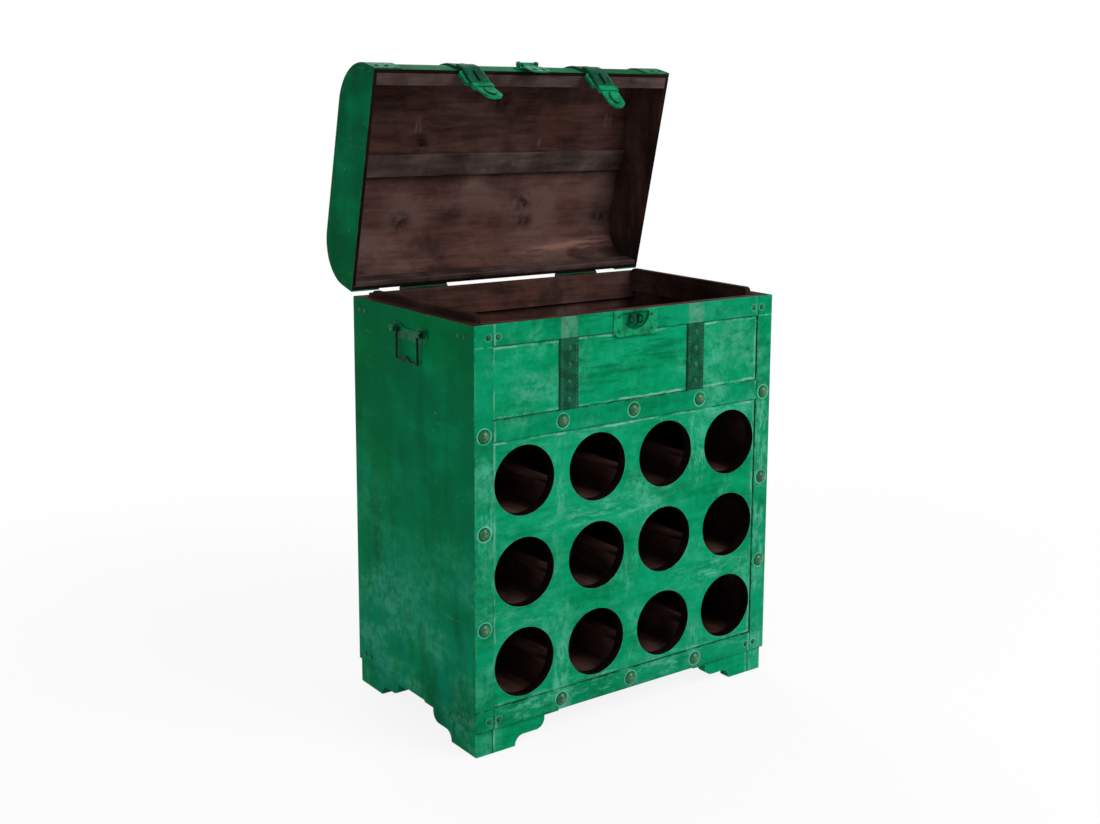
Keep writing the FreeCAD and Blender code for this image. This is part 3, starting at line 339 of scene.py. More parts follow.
    # Pale rings where paint has gathered round the studs and the corner nails.
    band_heights = ((MIDDLE_BAND_LOW + MIDDLE_BAND_TOP) / 2, (BOTTOM_BAND_LOW + BOTTOM_BAND_TOP) / 2)
    band_height = paint.math("MINIMUM", *[paint.apart(paint.z, height) for height in band_heights])
    row_rings = paint.times(
        paint.ring(paint.wave(paint.x, 0.0, COLUMN_PITCH), band_height, STUD_HALO, 1.0 * MM),
        paint.step(across, EDGE_BAND - 30 * MM, EDGE_BAND - 35 * MM),
    )
    column_rings = paint.times(
        paint.ring(
            paint.less(across, HALF_WIDTH - STUD_INSET),
            paint.wave(paint.z, LOWEST_STUD, STUD_PITCH),
            STUD_HALO,
            1.0 * MM,
        ),
        paint.step(paint.apart(paint.z, LOWEST_STUD + STUD_PITCH), 1.3 * STUD_PITCH, 1.25 * STUD_PITCH),
    )
    nail_heights = (RIM - NAIL_FROM_RIM, BOTTOM_BAND_LOW + NAIL_FROM_BOTTOM)
    nail_height = paint.math("MINIMUM", *[paint.apart(paint.z, height) for height in nail_heights])
    nail_rings = paint.times(
        paint.ring(paint.wave(across, NAIL_X, NAIL_PITCH), nail_height, NAIL_HALO, 1.2 * MM),
        paint.step(paint.apart(across, NAIL_X + NAIL_PITCH / 2), NAIL_PITCH, 0.95 * NAIL_PITCH),
    )
    faint_nails = paint.times(nail_rings, 0.35)
    rings = paint.times(paint.either(row_rings, column_rings, faint_nails), paint.step(brush, 0.32, 0.54))
    colour = paint.mix(paint.times(rings, 0.6), colour, PALE_CHALK)

    worn = paint.times(paint.attribute("edge"), paint.step(fine, 0.42, 0.58))
    colour = paint.mix(paint.times(worn, 0.4), colour, CHALK)
    paint.colour(colour)
    paint.gloss(fine, 0.50, 0.72)
    paint.relief(paint.plus(paint.times(brush, 0.5), paint.times(fine, 0.5)), 0.6 * MM)
    return paint.material


def side_paint(name, depth, lowest, highest, turn=(0, 0, 0)):
    """Darker, cloudy paint of the sides, back and lid: olive and dark high up, bluish and scuffed below."""
    paint = Finish(name, roughness=0.6, shine=PAINT_SHINE)
    clouds = paint.noise(6, 4, 0.55, turn=turn)
    slope = (turn[0] - math.radians(24), 0, 0)
    brush = paint.noise(10, 5, 0.54, stretch=(1, 0.7, 1.6), turn=slope, shift=2.0)
    upright = paint.noise(18, 5, 0.56, stretch=(2.2, 2.2, 0.5), turn=turn, shift=6.0)
    fine = paint.noise(85, 6, 0.66)
    tone = paint.plus(
        paint.plus(paint.times(clouds, 0.38), paint.times(brush, 0.22)),
        paint.plus(paint.times(upright, 0.32), paint.times(fine, 0.08)),
    )
    shades = ((0.40, SHADE_GREEN), (0.49, STAIN_GREEN), (0.58, EMERALD))
    colour = paint.ramp(tone, *[(spot, toned(shade, depth)) for spot, shade in shades])
    height = paint.step(paint.plus(paint.z, paint.times(paint.less(clouds, 0.5), 0.3)), lowest, highest)
    lowness = paint.less(1.0, height)
    olive = paint.times(paint.step(paint.noise(5, 4, 0.55, turn=turn, shift=9.0), 0.36, 0.58), height)
    colour = paint.mix(paint.times(olive, 0.75), colour, toned(OLIVE_GREEN, 0.75 * depth))
    strokes = paint.times(height, paint.step(brush, 0.66, 0.40), 0.7)
    colour = paint.mix(strokes, colour, toned(SHADE_GREEN, depth))
    blue = paint.times(paint.step(paint.noise(8, 5, 0.6, turn=turn, shift=12.0), 0.44, 0.60), lowness)
    colour = paint.mix(paint.times(blue, 0.7), colour, toned(BLUE_GREEN, 1.15 * depth))
    slant = paint.noise(9, 7, 0.72, stretch=(1, 1, 14), turn=(math.radians(-32), 0, 0), shift=5.0)
    scratches = paint.times(paint.step(slant, 0.57, 0.68), paint.step(fine, 0.42, 0.58))
    colour = paint.mix(paint.times(scratches, 0.11), colour, CHALK)
    scuffs = paint.times(lowness, paint.step(brush, 0.44, 0.62), paint.step(fine, 0.36, 0.62))
    colour = paint.mix(paint.times(scuffs, lowness, 0.34), colour, CHALK)
    specks = paint.times(paint.step(paint.noise(130, 3, 0.5, shift=3.0), 0.70, 0.76), 0.3)
    colour = paint.mix(specks, colour, CHALK)
    # Painted shadow: a dark line in the gap above the feet.
    foot_gap_shadow = paint.near(paint.z, BOTTOM_BAND_LOW, 1.6 * MM)
    colour = paint.mix(paint.times(foot_gap_shadow, 0.8), colour, SHADE_AND_DIRT_GREEN)
    worn = paint.times(paint.attribute("edge"), paint.step(fine, 0.44, 0.60))
    colour = paint.mix(paint.times(worn, 0.22), colour, CHALK)
    paint.colour(colour)
    paint.gloss(fine, 0.50, 0.72)
    paint.relief(paint.plus(paint.times(brush, 0.6), paint.times(fine, 0.4)), 0.6 * MM)
    return paint.material


# Marks in the board inside the lid, as places across and up while the lid stands open.
LID_KNOTS = ((-130, 604), (66, 624), (72, 597), (8, 767), (-110, 709), (206, 598))
LID_SCRATCHES = ((197, 739), (85, 706), (-118, 735))
LID_STREAK_START = (10 * MM, 551 * MM)
LID_STREAK_RISE = 0.05
LID_STREAK_WIDTH = 1.5 * MM
LID_STREAK_SPREAD = 0.045
LID_STREAK_SWAY = 8 * MM
LID_STREAK_FADE = 120 * MM
LID_KNOT_REACH = 21 * MM
LID_SCRATCH_REACH = 16 * MM
# Painted light: the board inside the lid is lighter below these heights, where its lower part faces up to the
# lamps.
LID_PAINTED_LIGHT_ENDS = 720 * MM
LID_PAINTED_LIGHT_FULL = 590 * MM


# Stained wood from dark to pale, each shade with its place in the pattern, and the tints laid over it.
STAIN_SHADES = (
    (0.39, (0.018, 0.0085, 0.0070)),
    (0.47, (0.042, 0.0205, 0.0165)),
    (0.53, (0.067, 0.0340, 0.0285)),
    (0.62, (0.112, 0.0640, 0.0550)),
)
RUDDY_STAIN = (0.092, 0.034, 0.025)
DEEP_STAIN = (0.016, 0.009, 0.008)
KNOT_BROWN = (0.006, 0.0035, 0.0035)
SCRATCHED_WOOD = (0.15, 0.105, 0.09)
SCUFFED_WOOD = (0.21, 0.15, 0.14)
STREAK_WOOD = (0.235, 0.118, 0.092)
BARE_WOOD = (0.115, 0.070, 0.056)


def stained_wood(name, along, shade=1.0, grey=0.0, wear=0.3, marked=False, ruddy=0.4):
    """Dark stained board with its grain along one axis; the marked one has knots, a bare streak and painted light
    on its lower part.
    """
    wood = Finish(name, roughness=0.75, shine=WOOD_SHINE)
    stretch = {"X": (0.12, 1, 1), "Y": (1, 0.12, 1), "Z": (1, 1, 0.12)}[along]
    grain = wood.noise(120, 7, 0.66, stretch=stretch)
    flow = wood.noise(14, 5, 0.58, stretch=tuple(0.3 if part < 1 else 1 for part in stretch), shift=1.5)
    clouds = wood.noise(13, 6, 0.6, shift=3.5)
    tone = wood.plus(wood.plus(wood.times(grain, 0.30), wood.times(flow, 0.32)), wood.times(clouds, 0.38))
    if marked:
        # Painted light: lighter towards the lower part of the lid's inside.
        tone = wood.plus(tone, wood.times(wood.step(wood.z, LID_PAINTED_LIGHT_ENDS, LID_PAINTED_LIGHT_FULL), 0.055))
    greyed = [(spot, [part + (max(tint) - part) * grey for part in tint]) for spot, tint in STAIN_SHADES]
    colour = wood.ramp(tone, *[(spot, toned(tint, shade)) for spot, tint in greyed])
    stain = wood.step(wood.noise(11, 5, 0.6, shift=4.0), 0.48, 0.66)
    warmth = wood.times(wood.step(wood.noise(9, 4, 0.6, shift=5.5), 0.44, 0.62), wood.step(grain, 0.30, 0.60))
    colour = wood.mix(wood.times(warmth, ruddy), colour, toned(RUDDY_STAIN, shade))
    colour = wood.mix(wood.times(stain, 0.72), colour, toned(DEEP_STAIN, shade))
    scratch = wood.noise(70, 5, 0.7, stretch=tuple(part * 0.6 for part in stretch), shift=7.0)
    colour = wood.mix(wood.times(wood.step(scratch, 0.64, 0.72), 0.25), colour, SCRATCHED_WOOD)
    if marked:
        ragged = wood.step(wood.noise(80, 5, 0.7, shift=2.0), 0.34, 0.60)
        knots = [wood.spot((x * MM, z * MM), LID_KNOT_REACH, long=1.2) for x, z in LID_KNOTS]
        colour = wood.mix(wood.times(wood.either(*knots), ragged, 0.95), colour, KNOT_BROWN)
        scuffs = [wood.spot((x * MM, z * MM), LID_SCRATCH_REACH, long=0.7) for x, z in LID_SCRATCHES]
        slant = wood.step(
            wood.noise(60, 5, 0.7, stretch=(1, 1, 0.15), turn=(0, math.radians(20), 0), shift=3.0), 0.50, 0.62
        )
        colour = wood.mix(wood.times(wood.either(*scuffs), slant, 0.55), colour, SCUFFED_WOOD)
        start_x, start_z = LID_STREAK_START
        line = wood.plus(wood.times(wood.less(wood.x, start_x), LID_STREAK_RISE), start_z)
        line = wood.plus(line, wood.times(wood.less(wood.noise(24, 4), 0.5), LID_STREAK_SWAY))
        widening = wood.plus(wood.times(wood.less(wood.x, start_x), LID_STREAK_SPREAD), LID_STREAK_WIDTH)
        beside = wood.math("DIVIDE", wood.apart(wood.z, line), widening)
        streak = wood.times(
            wood.step(beside, 1.0, 0.2),
            wood.step(wood.x, start_x, start_x + LID_STREAK_FADE),
            wood.step(grain, 0.30, 0.54),
        )
        colour = wood.mix(wood.times(streak, 0.85), colour, STREAK_WOOD)
    worn = wood.times(wood.attribute("edge"), wood.step(grain, 0.42, 0.62))
    colour = wood.mix(wood.times(worn, wear), colour, toned(BARE_WOOD, shade))
    wood.colour(colour)
    wood.gloss(grain, 0.66, 0.84)
    wood.relief(grain, 0.4 * MM)
    return wood.material


def strap_leather(name, base, worn_colour):
    """Painted leather with a fine pebble and rubbed edges."""
    leather = Finish(name, roughness=0.6, shine=0.06)
    pebble = leather.noise(420, 3, 0.5)
    blots = leather.noise(75, 5, 0.6)
    colour = leather.mix(leather.step(blots, 0.42, 0.60), base, toned(base, 0.55))
    rubs = leather.step(leather.noise(230, 4, 0.7), 0.50, 0.64)
    colour = leather.mix(leather.times(rubs, 0.22), colour, worn_colour)
    colour = leather.mix(leather.times(rubs, leather.attribute("edge"), 0.7), colour, worn_colour)
    leather.colour(colour)
    leather.gloss(blots, 0.50, 0.72)
    leather.relief(pebble, 0.25 * MM)
    return leather.material


def painted_metal(name, base, rubbed, wear, shine=0.08, polish=(0.32, 0.56), recess_shade_and_dirt_at=None):
    """Green paint over metal, rubbed through on the edges, with a painted highlight, partly wear, on the crowns of
    domes, and painted shade with dirt about one place.
    """
    metal = Finish(name, roughness=0.45, shine=shine)
    blots = metal.noise(110, 5, 0.6)
    fine = metal.noise(400, 4, 0.6)
    colour = metal.mix(metal.step(blots, 0.42, 0.64), base, toned(base, 0.5))
    # On domes this mark is the crown: a painted highlight, partly wear.
    worn = metal.times(metal.attribute("edge"), metal.step(fine, 0.38, 0.58))
    colour = metal.mix(metal.times(worn, wear), colour, rubbed)
    if recess_shade_and_dirt_at:
        # Painted shade of a recess, with dirt about it.
        recess_shade_and_dirt = metal.times(metal.spot(recess_shade_and_dirt_at, 21 * MM, long=1.3), metal.step(blots, 0.22, 0.42))
        colour = metal.mix(metal.times(recess_shade_and_dirt, 0.95), colour, SHADE_AND_DIRT_GREEN)
    metal.colour(colour)
    metal.gloss(blots, *polish)
    metal.relief(fine, 0.15 * MM)
    return metal.material


FRONT_PAINT = front_paint("front_paint", depth=0.97)
BAND_PAINT = front_paint("band_paint", depth=0.85)
SIDE_PAINT = side_paint("side_paint", 1.06, 40 * MM, 470 * MM)
LID_PAINT = side_paint("lid_paint", 0.76, 200 * MM, 600 * MM, turn=(LID_ANGLE / 5, 0, 0))
LID_BOARD = stained_wood("lid_board", "X", shade=1.16, marked=True)
LID_END_BOARD = stained_wood("lid_end_board", "Z", shade=0.9, wear=0.1)
LID_RIM = stained_wood("lid_rim", "X", shade=0.16, wear=0.0)
LID_BATTEN = stained_wood("lid_batten", "X", shade=1.1, grey=0.3, ruddy=0.15)
CHEST_BOARD = stained_wood("chest_board", "X", shade=1.1, wear=0.15, ruddy=0.75)
CHEST_SIDE = stained_wood("chest_side", "Y", shade=0.6, wear=0.1)
RACK_BOARD = stained_wood("rack_board", "Y", shade=1.25)
# Painted shade: the walls of the bottle holes are the stained wood darkened almost to black, as they lie in shade.
SHADED_HOLE_WALL = stained_wood("shaded_hole_wall", "Y", shade=0.09, wear=0.2)
STRAP_LEATHER = strap_leather("strap_leather", (0.004, 0.088, 0.042), (0.012, 0.045, 0.028))
FLAP_LEATHER = strap_leather("flap_leather", (0.002, 0.270, 0.106), (0.060, 0.400, 0.240))
BAND_LEATHER = strap_leather("band_leather", (0.0015, 0.170, 0.066), (0.060, 0.260, 0.170))
STRAP_THREAD = strap_leather("strap_thread", (0.070, 0.150, 0.110), (0.24, 0.30, 0.24))
LEAF_GREEN = (0.002, 0.210, 0.082)
WORN_GREEN = (0.020, 0.360, 0.190)
FITTING_METAL = painted_metal("fitting_metal", LEAF_GREEN, WORN_GREEN, 0.7)
# The lock plate carries painted shade in its recess, with dirt about it.
LOCK_METAL = painted_metal(
    "lock_metal", (0.002, 0.280, 0.110), WORN_GREEN, 0.7, recess_shade_and_dirt_at=(0.0, RIM - 10 * MM)
)
HANDLE_METAL = painted_metal("handle_metal", (0.0015, 0.150, 0.055), (0.030, 0.300, 0.170), 0.6)
HINGE_METAL = painted_metal("hinge_metal", (0.001, 0.030, 0.014), (0.002, 0.110, 0.050), 0.5)
# The studs' pale gold crown is a painted highlight, partly rubbed paint.
STUD_METAL = painted_metal(
    "stud_metal", (0.001, 0.150, 0.052), (0.230, 0.215, 0.105), 0.9, shine=0.3, polish=(0.14, 0.26)
)
# The nails' lighter crown is a painted highlight, partly rubbed paint.
NAIL_METAL = painted_metal(
    "nail_metal", (0.001, 0.110, 0.040), (0.020, 0.300, 0.160), 0.6, shine=0.15, polish=(0.20, 0.34)
)
DARK_METAL = painted_metal("dark_metal", (0.001, 0.020, 0.010), (0.006, 0.080, 0.040), 0.4)


def finish_piece(name, bm, materials, body, replaced=()):
    """Make a piece of a bmesh, put it on its body and let it stand for CAD nodes."""
    mesh = bpy.data.meshes.new(name)
    bm.to_mesh(mesh)
    bm.free()
    for material in materials:
        mesh.materials.append(material)
    mesh.polygons.foreach_set("use_smooth", [True] * len(mesh.polygons))
    piece = bpy.data.objects.new(name, mesh)
    bpy.context.scene.collection.objects.link(piece)
    weighted = piece.modifiers.new("even_normals", "WEIGHTED_NORMAL")
    weighted.keep_sharp = True
    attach(piece, body)
    if replaced:
        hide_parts(*replaced)
    return piece


# Face layer for rubbed edges; on domes it marks the crown's painted highlight instead.
def wear_and_crown_layer(bm):
    return bm.faces.layers.float.get("edge") or bm.faces.layers.float.new("edge")


def soften(bm, width, least_angle=30):
    """Bevel the sharp edges, and mark the bevels as edge faces for the wear."""
    layer = wear_and_crown_layer(bm)
    sharp = [
        edge for edge in bm.edges
        if len(edge.link_faces) == 2 and edge.calc_face_angle() > math.radians(least_angle)
    ]
    bevel = bmesh.ops.bevel(
        bm, geom=sharp, offset=width, offset_type="OFFSET", segments=2, profile=0.5,
        affect="EDGES", clamp_overlap=True, material=-1,
    )
    for face in bevel["faces"]:
        face[layer] = 1.0


def cad_copy(node):
    """Copy of a node's mesh with merged corners and whole flat faces."""
    bm = bmesh.new()
    bm.from_mesh(nodes[node].data)
    bmesh.ops.remove_doubles(bm, verts=bm.verts, dist=0.002 * MM)
    bmesh.ops.dissolve_limit(bm, angle_limit=math.radians(0.5), verts=bm.verts, edges=bm.edges)
    return bm


def dress(node, materials, width=0.8 * MM, choose=None, least_angle=30):
    """Softened copy of a node; choose gives the number of each face's material."""
    bm = cad_copy(node)
    soften(bm, width, least_angle=least_angle)
    if choose:
        for face in bm.faces:
            face.material_index = int(choose(face))
    return finish_piece(f"dressed_{node}", bm, materials, body_of[node], [node])


def solids(bm):
    """Lists of faces, one for each separate solid of a mesh."""
    waiting = set(bm.faces)
    found = []
    while waiting:
        group = [waiting.pop()]
        for face in group:
            for other in {linked for edge in face.edges for linked in edge.link_faces} & waiting:
                waiting.remove(other)
                group.append(other)
        found.append(group)
    return found


DOME_SEGMENTS = 20
# How tightly the lighter crown of each dome is gathered: a painted highlight, partly paint rubbed off the top.
CROWN_HIGHLIGHT_AND_WEAR_POWER = 12


def domes(node, material):
    """Smooth domes where a node has its faceted studs or nails, each with a painted highlight, partly rubbed
    paint, on its crown.
    """
    faceted = cad_copy(node)
    bm = bmesh.new()
    layer = wear_and_crown_layer(bm)
    for solid in solids(faceted):
        base = max(solid, key=lambda face: face.calc_area())
        foot = base.calc_center_median()
        out = -base.normal
        radius = max((vertex.co - foot).length for vertex in base.verts)
        height = max((vertex.co - foot).dot(out) for face in solid for vertex in face.verts)
        ball = (radius**2 + height**2) / (2 * height)
        facing = out.to_track_quat("Z", "Y").to_matrix().to_4x4()
        place = Matrix.Translation(foot + out * (height - ball)) @ facing
        ball_verts = bmesh.ops.create_uvsphere(
            bm, u_segments=DOME_SEGMENTS, v_segments=DOME_SEGMENTS, radius=ball, matrix=place
        )["verts"]
        shell = {part for vertex in ball_verts for part in (vertex, *vertex.link_edges, *vertex.link_faces)}
        cut = bmesh.ops.bisect_plane(bm, geom=list(shell), plane_co=foot, plane_no=out, clear_inner=True)
        loop = [part for part in cut["geom_cut"] if isinstance(part, bmesh.types.BMEdge)]
        bmesh.ops.edgeloop_fill(bm, edges=loop)
        # The crown gets the rubbed colour: a painted highlight, partly worn paint.
        for face in bm.faces:
            rise = (face.calc_center_median() - foot).dot(out) / height
            if (face.calc_center_median() - foot).length < 1.1 * radius:
                face[layer] = max(0.0, rise) ** CROWN_HIGHLIGHT_AND_WEAR_POWER
    faceted.free()
    bmesh.ops.recalc_face_normals(bm, faces=bm.faces)
    return finish_piece(f"domed_{node}", bm, [material], body_of[node], [node])


# Stitches along the straps
STITCH_PITCH = 5.2 * MM
STITCH_SIZE = (1.7 * MM, 0.55 * MM, 0.40 * MM)
STITCH_INSET = 3.0 * MM


def sew(bm, place, along, out):
    """One raised stitch."""
    turn = Matrix((along, out.cross(along), out)).transposed().to_4x4()
    shape = Matrix.Translation(place) @ turn @ Matrix.Diagonal((*STITCH_SIZE, 1))
    bmesh.ops.create_uvsphere(bm, u_segments=8, v_segments=4, radius=1, matrix=shape)


def sew_strap(node, faces_out):
    """Two rows of stitches along the outer faces of a strap."""
    strap = cad_copy(node)
    bm = bmesh.new()
    half = (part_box(node)[1].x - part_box(node)[0].x) / 2
    middle_x = (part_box(node)[1].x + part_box(node)[0].x) / 2
    for face in strap.faces:
        wide = max(vertex.co.x for vertex in face.verts) - min(vertex.co.x for vertex in face.verts)
        if wide < 1.9 * half or not faces_out(face):
            continue
        along = face.normal.cross(RIGHTWARD).normalized()
        reach = [vertex.co.dot(along) for vertex in face.verts]
        length = max(reach) - min(reach)
        count = max(1, round(length / STITCH_PITCH))
        centre = face.calc_center_median()
        for number in range(count):
            ahead = min(reach) + (number + 0.5) / count * length - centre.dot(along)
            for sign in SIDES.values():
                place = centre + along * ahead
                place.x = middle_x + sign * (half - STITCH_INSET)
                sew(bm, place, along, face.normal)
    strap.free()
    return finish_piece(f"thread_{node}", bm, [STRAP_THREAD], body_of[node])


# Carcass
for side, sign in SIDES.items():
    dress(
        f"side_panel_{side}",
        [SIDE_PAINT, CHEST_SIDE],
        choose=lambda face, sign=sign: face.normal.x * sign < -0.3 or face.normal.z > 0.8,
    )
dress(
    "back_panel",
    [SIDE_PAINT, CHEST_BOARD],
    choose=lambda face: face.normal.y < -0.3 or face.normal.z > 0.8,
)
dress("front_board_upper", [FRONT_PAINT, CHEST_BOARD], choose=lambda face: face.normal.y > -0.5)
# The hole walls take the stained wood darkened as painted shade.
dress("bottle_front", [FRONT_PAINT, SHADED_HOLE_WALL], choose=lambda face: face.normal.y > -0.85)
for node in ("compartment_floor", "lip_batten_rear"):
    dress(node, [CHEST_BOARD])
for node in ("lip_batten_left", "lip_batten_right"):
    dress(node, [CHEST_SIDE], width=1.2 * MM)
for node in ("bottom_board", "bottle_shelf_middle", "bottle_shelf_upper", "bottle_battens"):
    dress(node, [RACK_BOARD], width=1.2 * MM)
for node in ("band_top", "band_middle", "band_bottom", "band_left", "band_right"):
    dress(node, [BAND_PAINT], width=0.5 * MM)
for end in ("front", "rear"):
    for side in SIDES:
        dress(f"foot_{end}_{side}_face", [FRONT_PAINT if end == "front" else SIDE_PAINT])
        dress(f"foot_{end}_{side}_flank", [SIDE_PAINT])

# Lid
LID_MIDDLE = LID_OPEN @ ((lid_box("lid_end_left")[0] + lid_box("lid_end_right")[1]) / 2)
RIM_FACING = LID_OPEN.to_3x3() @ Vector((0, 0, -1))


def outside_lid(face):
    """Whether a face of a lid piece looks away from the lid's hollow."""
    return face.normal.dot(face.calc_center_median() - LID_MIDDLE) > 0


def lid_finish(face, within):
    """Number of a lid face's finish: 0 for paint, 1 for bare board within, 2 for the dark rim."""
    at_rim = (LID_SHUT @ face.calc_center_median()).z < 0
    return 2 if at_rim and face.normal.dot(RIM_FACING) > 0.5 else within


for side, sign in SIDES.items():
    dress(
        f"lid_end_{side}",
        [LID_PAINT, LID_END_BOARD, LID_RIM],
        choose=lambda face, sign=sign: lid_finish(face, face.normal.x * sign < 0.3),
    )
    dress(f"lid_edge_band_{side}", [BAND_LEATHER], width=0.5 * MM)
dress(
    "lid_top_skin",
    [LID_PAINT, LID_BOARD, LID_RIM],
    choose=lambda face: lid_finish(face, not outside_lid(face)),
)
for node in ("lid_front_rail", "lid_rear_rail", "lid_rib"):
    dress(node, [LID_BATTEN], width=1.0 * MM)

# Straps on the front and over the lid
STRAP_FOLD_FACE = -295.2 * MM


def above_fold(face):
    """Whether a face is on the outside of a lid strap and clear of its folded end."""
    return outside_lid(face) and (LID_SHUT @ face.calc_center_median()).y > STRAP_FOLD_FACE


for side in SIDES:
    dress(f"front_strap_{side}", [STRAP_LEATHER], width=0.7 * MM)
    sew_strap(f"front_strap_{side}", lambda face: face.normal.y < -0.9)
    lid_strap = cad_copy(f"lid_strap_{side}")
    soften(lid_strap, 0.7 * MM)
    lid_strap.transform(LID_SHUT)
    for vertex in lid_strap.verts:
        vertex.co.y = max(vertex.co.y, STRAP_FOLD_FACE)
    lid_strap.transform(LID_OPEN)
    finish_piece(
        f"dressed_lid_strap_{side}", lid_strap, [STRAP_LEATHER], "lid",
        [f"lid_strap_{side}"],
    )
    sew_strap(f"lid_strap_{side}", above_fold)

# Loose strap ends: the flat closures, bent to the line in which the leather hangs from the open lid.
FLAP_TOP = lid_box("strap_flap_left")[1].z
FLAP_FACE = lid_box("strap_flap_left")[1].y
FLAP_OUTER = lid_box("strap_flap_left")[0].y
FLAP_LENGTH = FLAP_TOP - lid_box("strap_flap_left")[0].z
HANG_FACE = -295.3 * MM
HANG_STEP = 0.5 * MM
BUCKLE_BEND = (8 * MM, 18 * MM)
TONGUE_BEND = (45 * MM, 55 * MM)
BUCKLE_DROOP = {"left": math.radians(26), "right": math.radians(29)}
TONGUE_DROOP = {"left": math.radians(8), "right": math.radians(27)}
BEND_SLICE = 3 * MM
PAINTED_FROM = 46 * MM
PRONG_WIDEST = 6 * MM
THREAD_START = 5 * MM
THREAD_CLEAR = 8 * MM
PAD_FROM_TIP = 17 * MM
PAD_HALF_WIDTH = 7 * MM
PAD_HALF_HEIGHT = 11 * MM
PAD_CORNERS = 28
PAD_RISE = 1.0 * MM
PAD_BORDER = 1.2 * MM
PAD_CROWN = 0.5 * MM


def part_way(distance, stretch):
    """Share of a stretch that lies before a distance."""
    return min(1.0, max(0.0, (distance - stretch[0]) / (stretch[1] - stretch[0])))


def hang_line(side):
    """Places and headings every step down a hanging strap, in the shut lid's frame."""
    places = []
    spot = Vector((0, HANG_FACE, FLAP_TOP))
    for number in range(int(FLAP_LENGTH / HANG_STEP) + 2):
        down = number * HANG_STEP
        turn = BUCKLE_DROOP[side] * part_way(down, BUCKLE_BEND)
        turn += (TONGUE_DROOP[side] - BUCKLE_DROOP[side]) * part_way(down, TONGUE_BEND)
        places.append((spot.copy(), turn))
        spot += Vector((0, math.sin(turn), -math.cos(turn))) * HANG_STEP
    return places


def droop(bm, side):
    """Bend a flat closure piece, given in the shut lid's frame, to the hanging line and turn it open."""
    line = hang_line(side)
    for number in range(1, int(FLAP_LENGTH / BEND_SLICE) + 1):
        bmesh.ops.bisect_plane(
            bm,
            geom=[*bm.verts, *bm.edges, *bm.faces],
            plane_co=(0, 0, FLAP_TOP - number * BEND_SLICE),
            plane_no=(0, 0, 1),
        )
    for vertex in bm.verts:
        down = max(0.0, FLAP_TOP - vertex.co.z)
        nearest = min(len(line) - 1, round(down / HANG_STEP))
        spot, turn = line[nearest]
        ahead = down - nearest * HANG_STEP
        out = FLAP_FACE - vertex.co.y
        bent = spot + Vector((0, math.sin(turn), -math.cos(turn))) * ahead
        bent += Vector((0, -math.cos(turn), -math.sin(turn))) * out
        vertex.co = (vertex.co.x, bent.y, bent.z)
    bm.transform(LID_OPEN)
    bm.normal_update()


def tongue_pad(bm, middle_x):
    """Raised oval on the painted tongue, with dark walls."""
    lift = Matrix.Translation((middle_x, FLAP_OUTER, FLAP_TOP - FLAP_LENGTH + PAD_FROM_TIP))
    shape = Matrix.Diagonal((PAD_HALF_WIDTH, PAD_HALF_HEIGHT, 1, 1))
    oval = lift @ Matrix.Rotation(math.radians(90), 4, "X") @ shape
    rim = bmesh.ops.create_circle(bm, cap_ends=True, segments=PAD_CORNERS, radius=1, matrix=oval)["verts"]
    cap = next(face for face in rim[0].link_faces if len(face.verts) == len(rim))
    raised = bmesh.ops.extrude_face_region(bm, geom=[cap])["geom"]
    top = next(part for part in raised if isinstance(part, bmesh.types.BMFace))
    bmesh.ops.translate(bm, verts=top.verts, vec=(0, -PAD_RISE, 0))
    for face in {linked for edge in top.edges for linked in edge.link_faces} - {top}:
        face.material_index = 0
    bmesh.ops.inset_region(bm, faces=[top], thickness=PAD_BORDER, depth=PAD_CROWN)
    top.material_index = 1


def squash_shut(piece):
    """Give the hanging closure a mesh of its own."""
    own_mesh(piece)


for side in SIDES:
    body = body_of[f"strap_flap_{side}"]
    flap_low, flap_high = lid_box(f"strap_flap_{side}")
    middle_x = (flap_low.x + flap_high.x) / 2
    half = (flap_high.x - flap_low.x) / 2

    flap = cad_copy(f"strap_flap_{side}")
    flap.transform(LID_SHUT)
    soften(flap, 0.9 * MM)
    bmesh.ops.bisect_plane(
        flap,
        geom=[*flap.verts, *flap.edges, *flap.faces],
        plane_co=(0, 0, FLAP_TOP - PAINTED_FROM),
        plane_no=(0, 0, 1),
    )
    for face in flap.faces:
        face.material_index = 1 if FLAP_TOP - face.calc_center_median().z > PAINTED_FROM else 0
    tongue_pad(flap, middle_x)
    droop(flap, side)
    piece = finish_piece(
        f"leather_strap_end_{side}", flap, [STRAP_LEATHER, FLAP_LEATHER], body,
        [f"strap_flap_{side}"],
    )
    squash_shut(piece)

    thread = bmesh.new()
    for number in range(int((PAINTED_FROM - THREAD_CLEAR) / STITCH_PITCH)):
        height = FLAP_TOP - THREAD_START - number * STITCH_PITCH
        for sign in SIDES.values():
            place = Vector((middle_x + sign * (half - STITCH_INSET), FLAP_OUTER, height))
            sew(thread, place, Vector((0, 0, 1)), Vector((0, -1, 0)))
    droop(thread, side)
    stitches = finish_piece(
        f"thread_strap_end_{side}", thread, [STRAP_THREAD], body
    )
    squash_shut(stitches)

    for node, material, width in (
        (f"strap_buckle_{side}", FITTING_METAL, 0.9 * MM),
        (f"strap_fittings_{side}", FLAP_LEATHER, 0.4 * MM),
    ):
        closure = cad_copy(node)
        closure.transform(LID_SHUT)
        for solid in solids(closure):
            places = [vertex.co.x for face in solid for vertex in face.verts]
            if max(places) - min(places) < PRONG_WIDEST:
                for face in solid:
                    face.material_index = 1
        soften(closure, width)
        droop(closure, side)
        hung = finish_piece(f"hung_{node}", closure, [material, DARK_METAL], body, [node])
        squash_shut(hung)

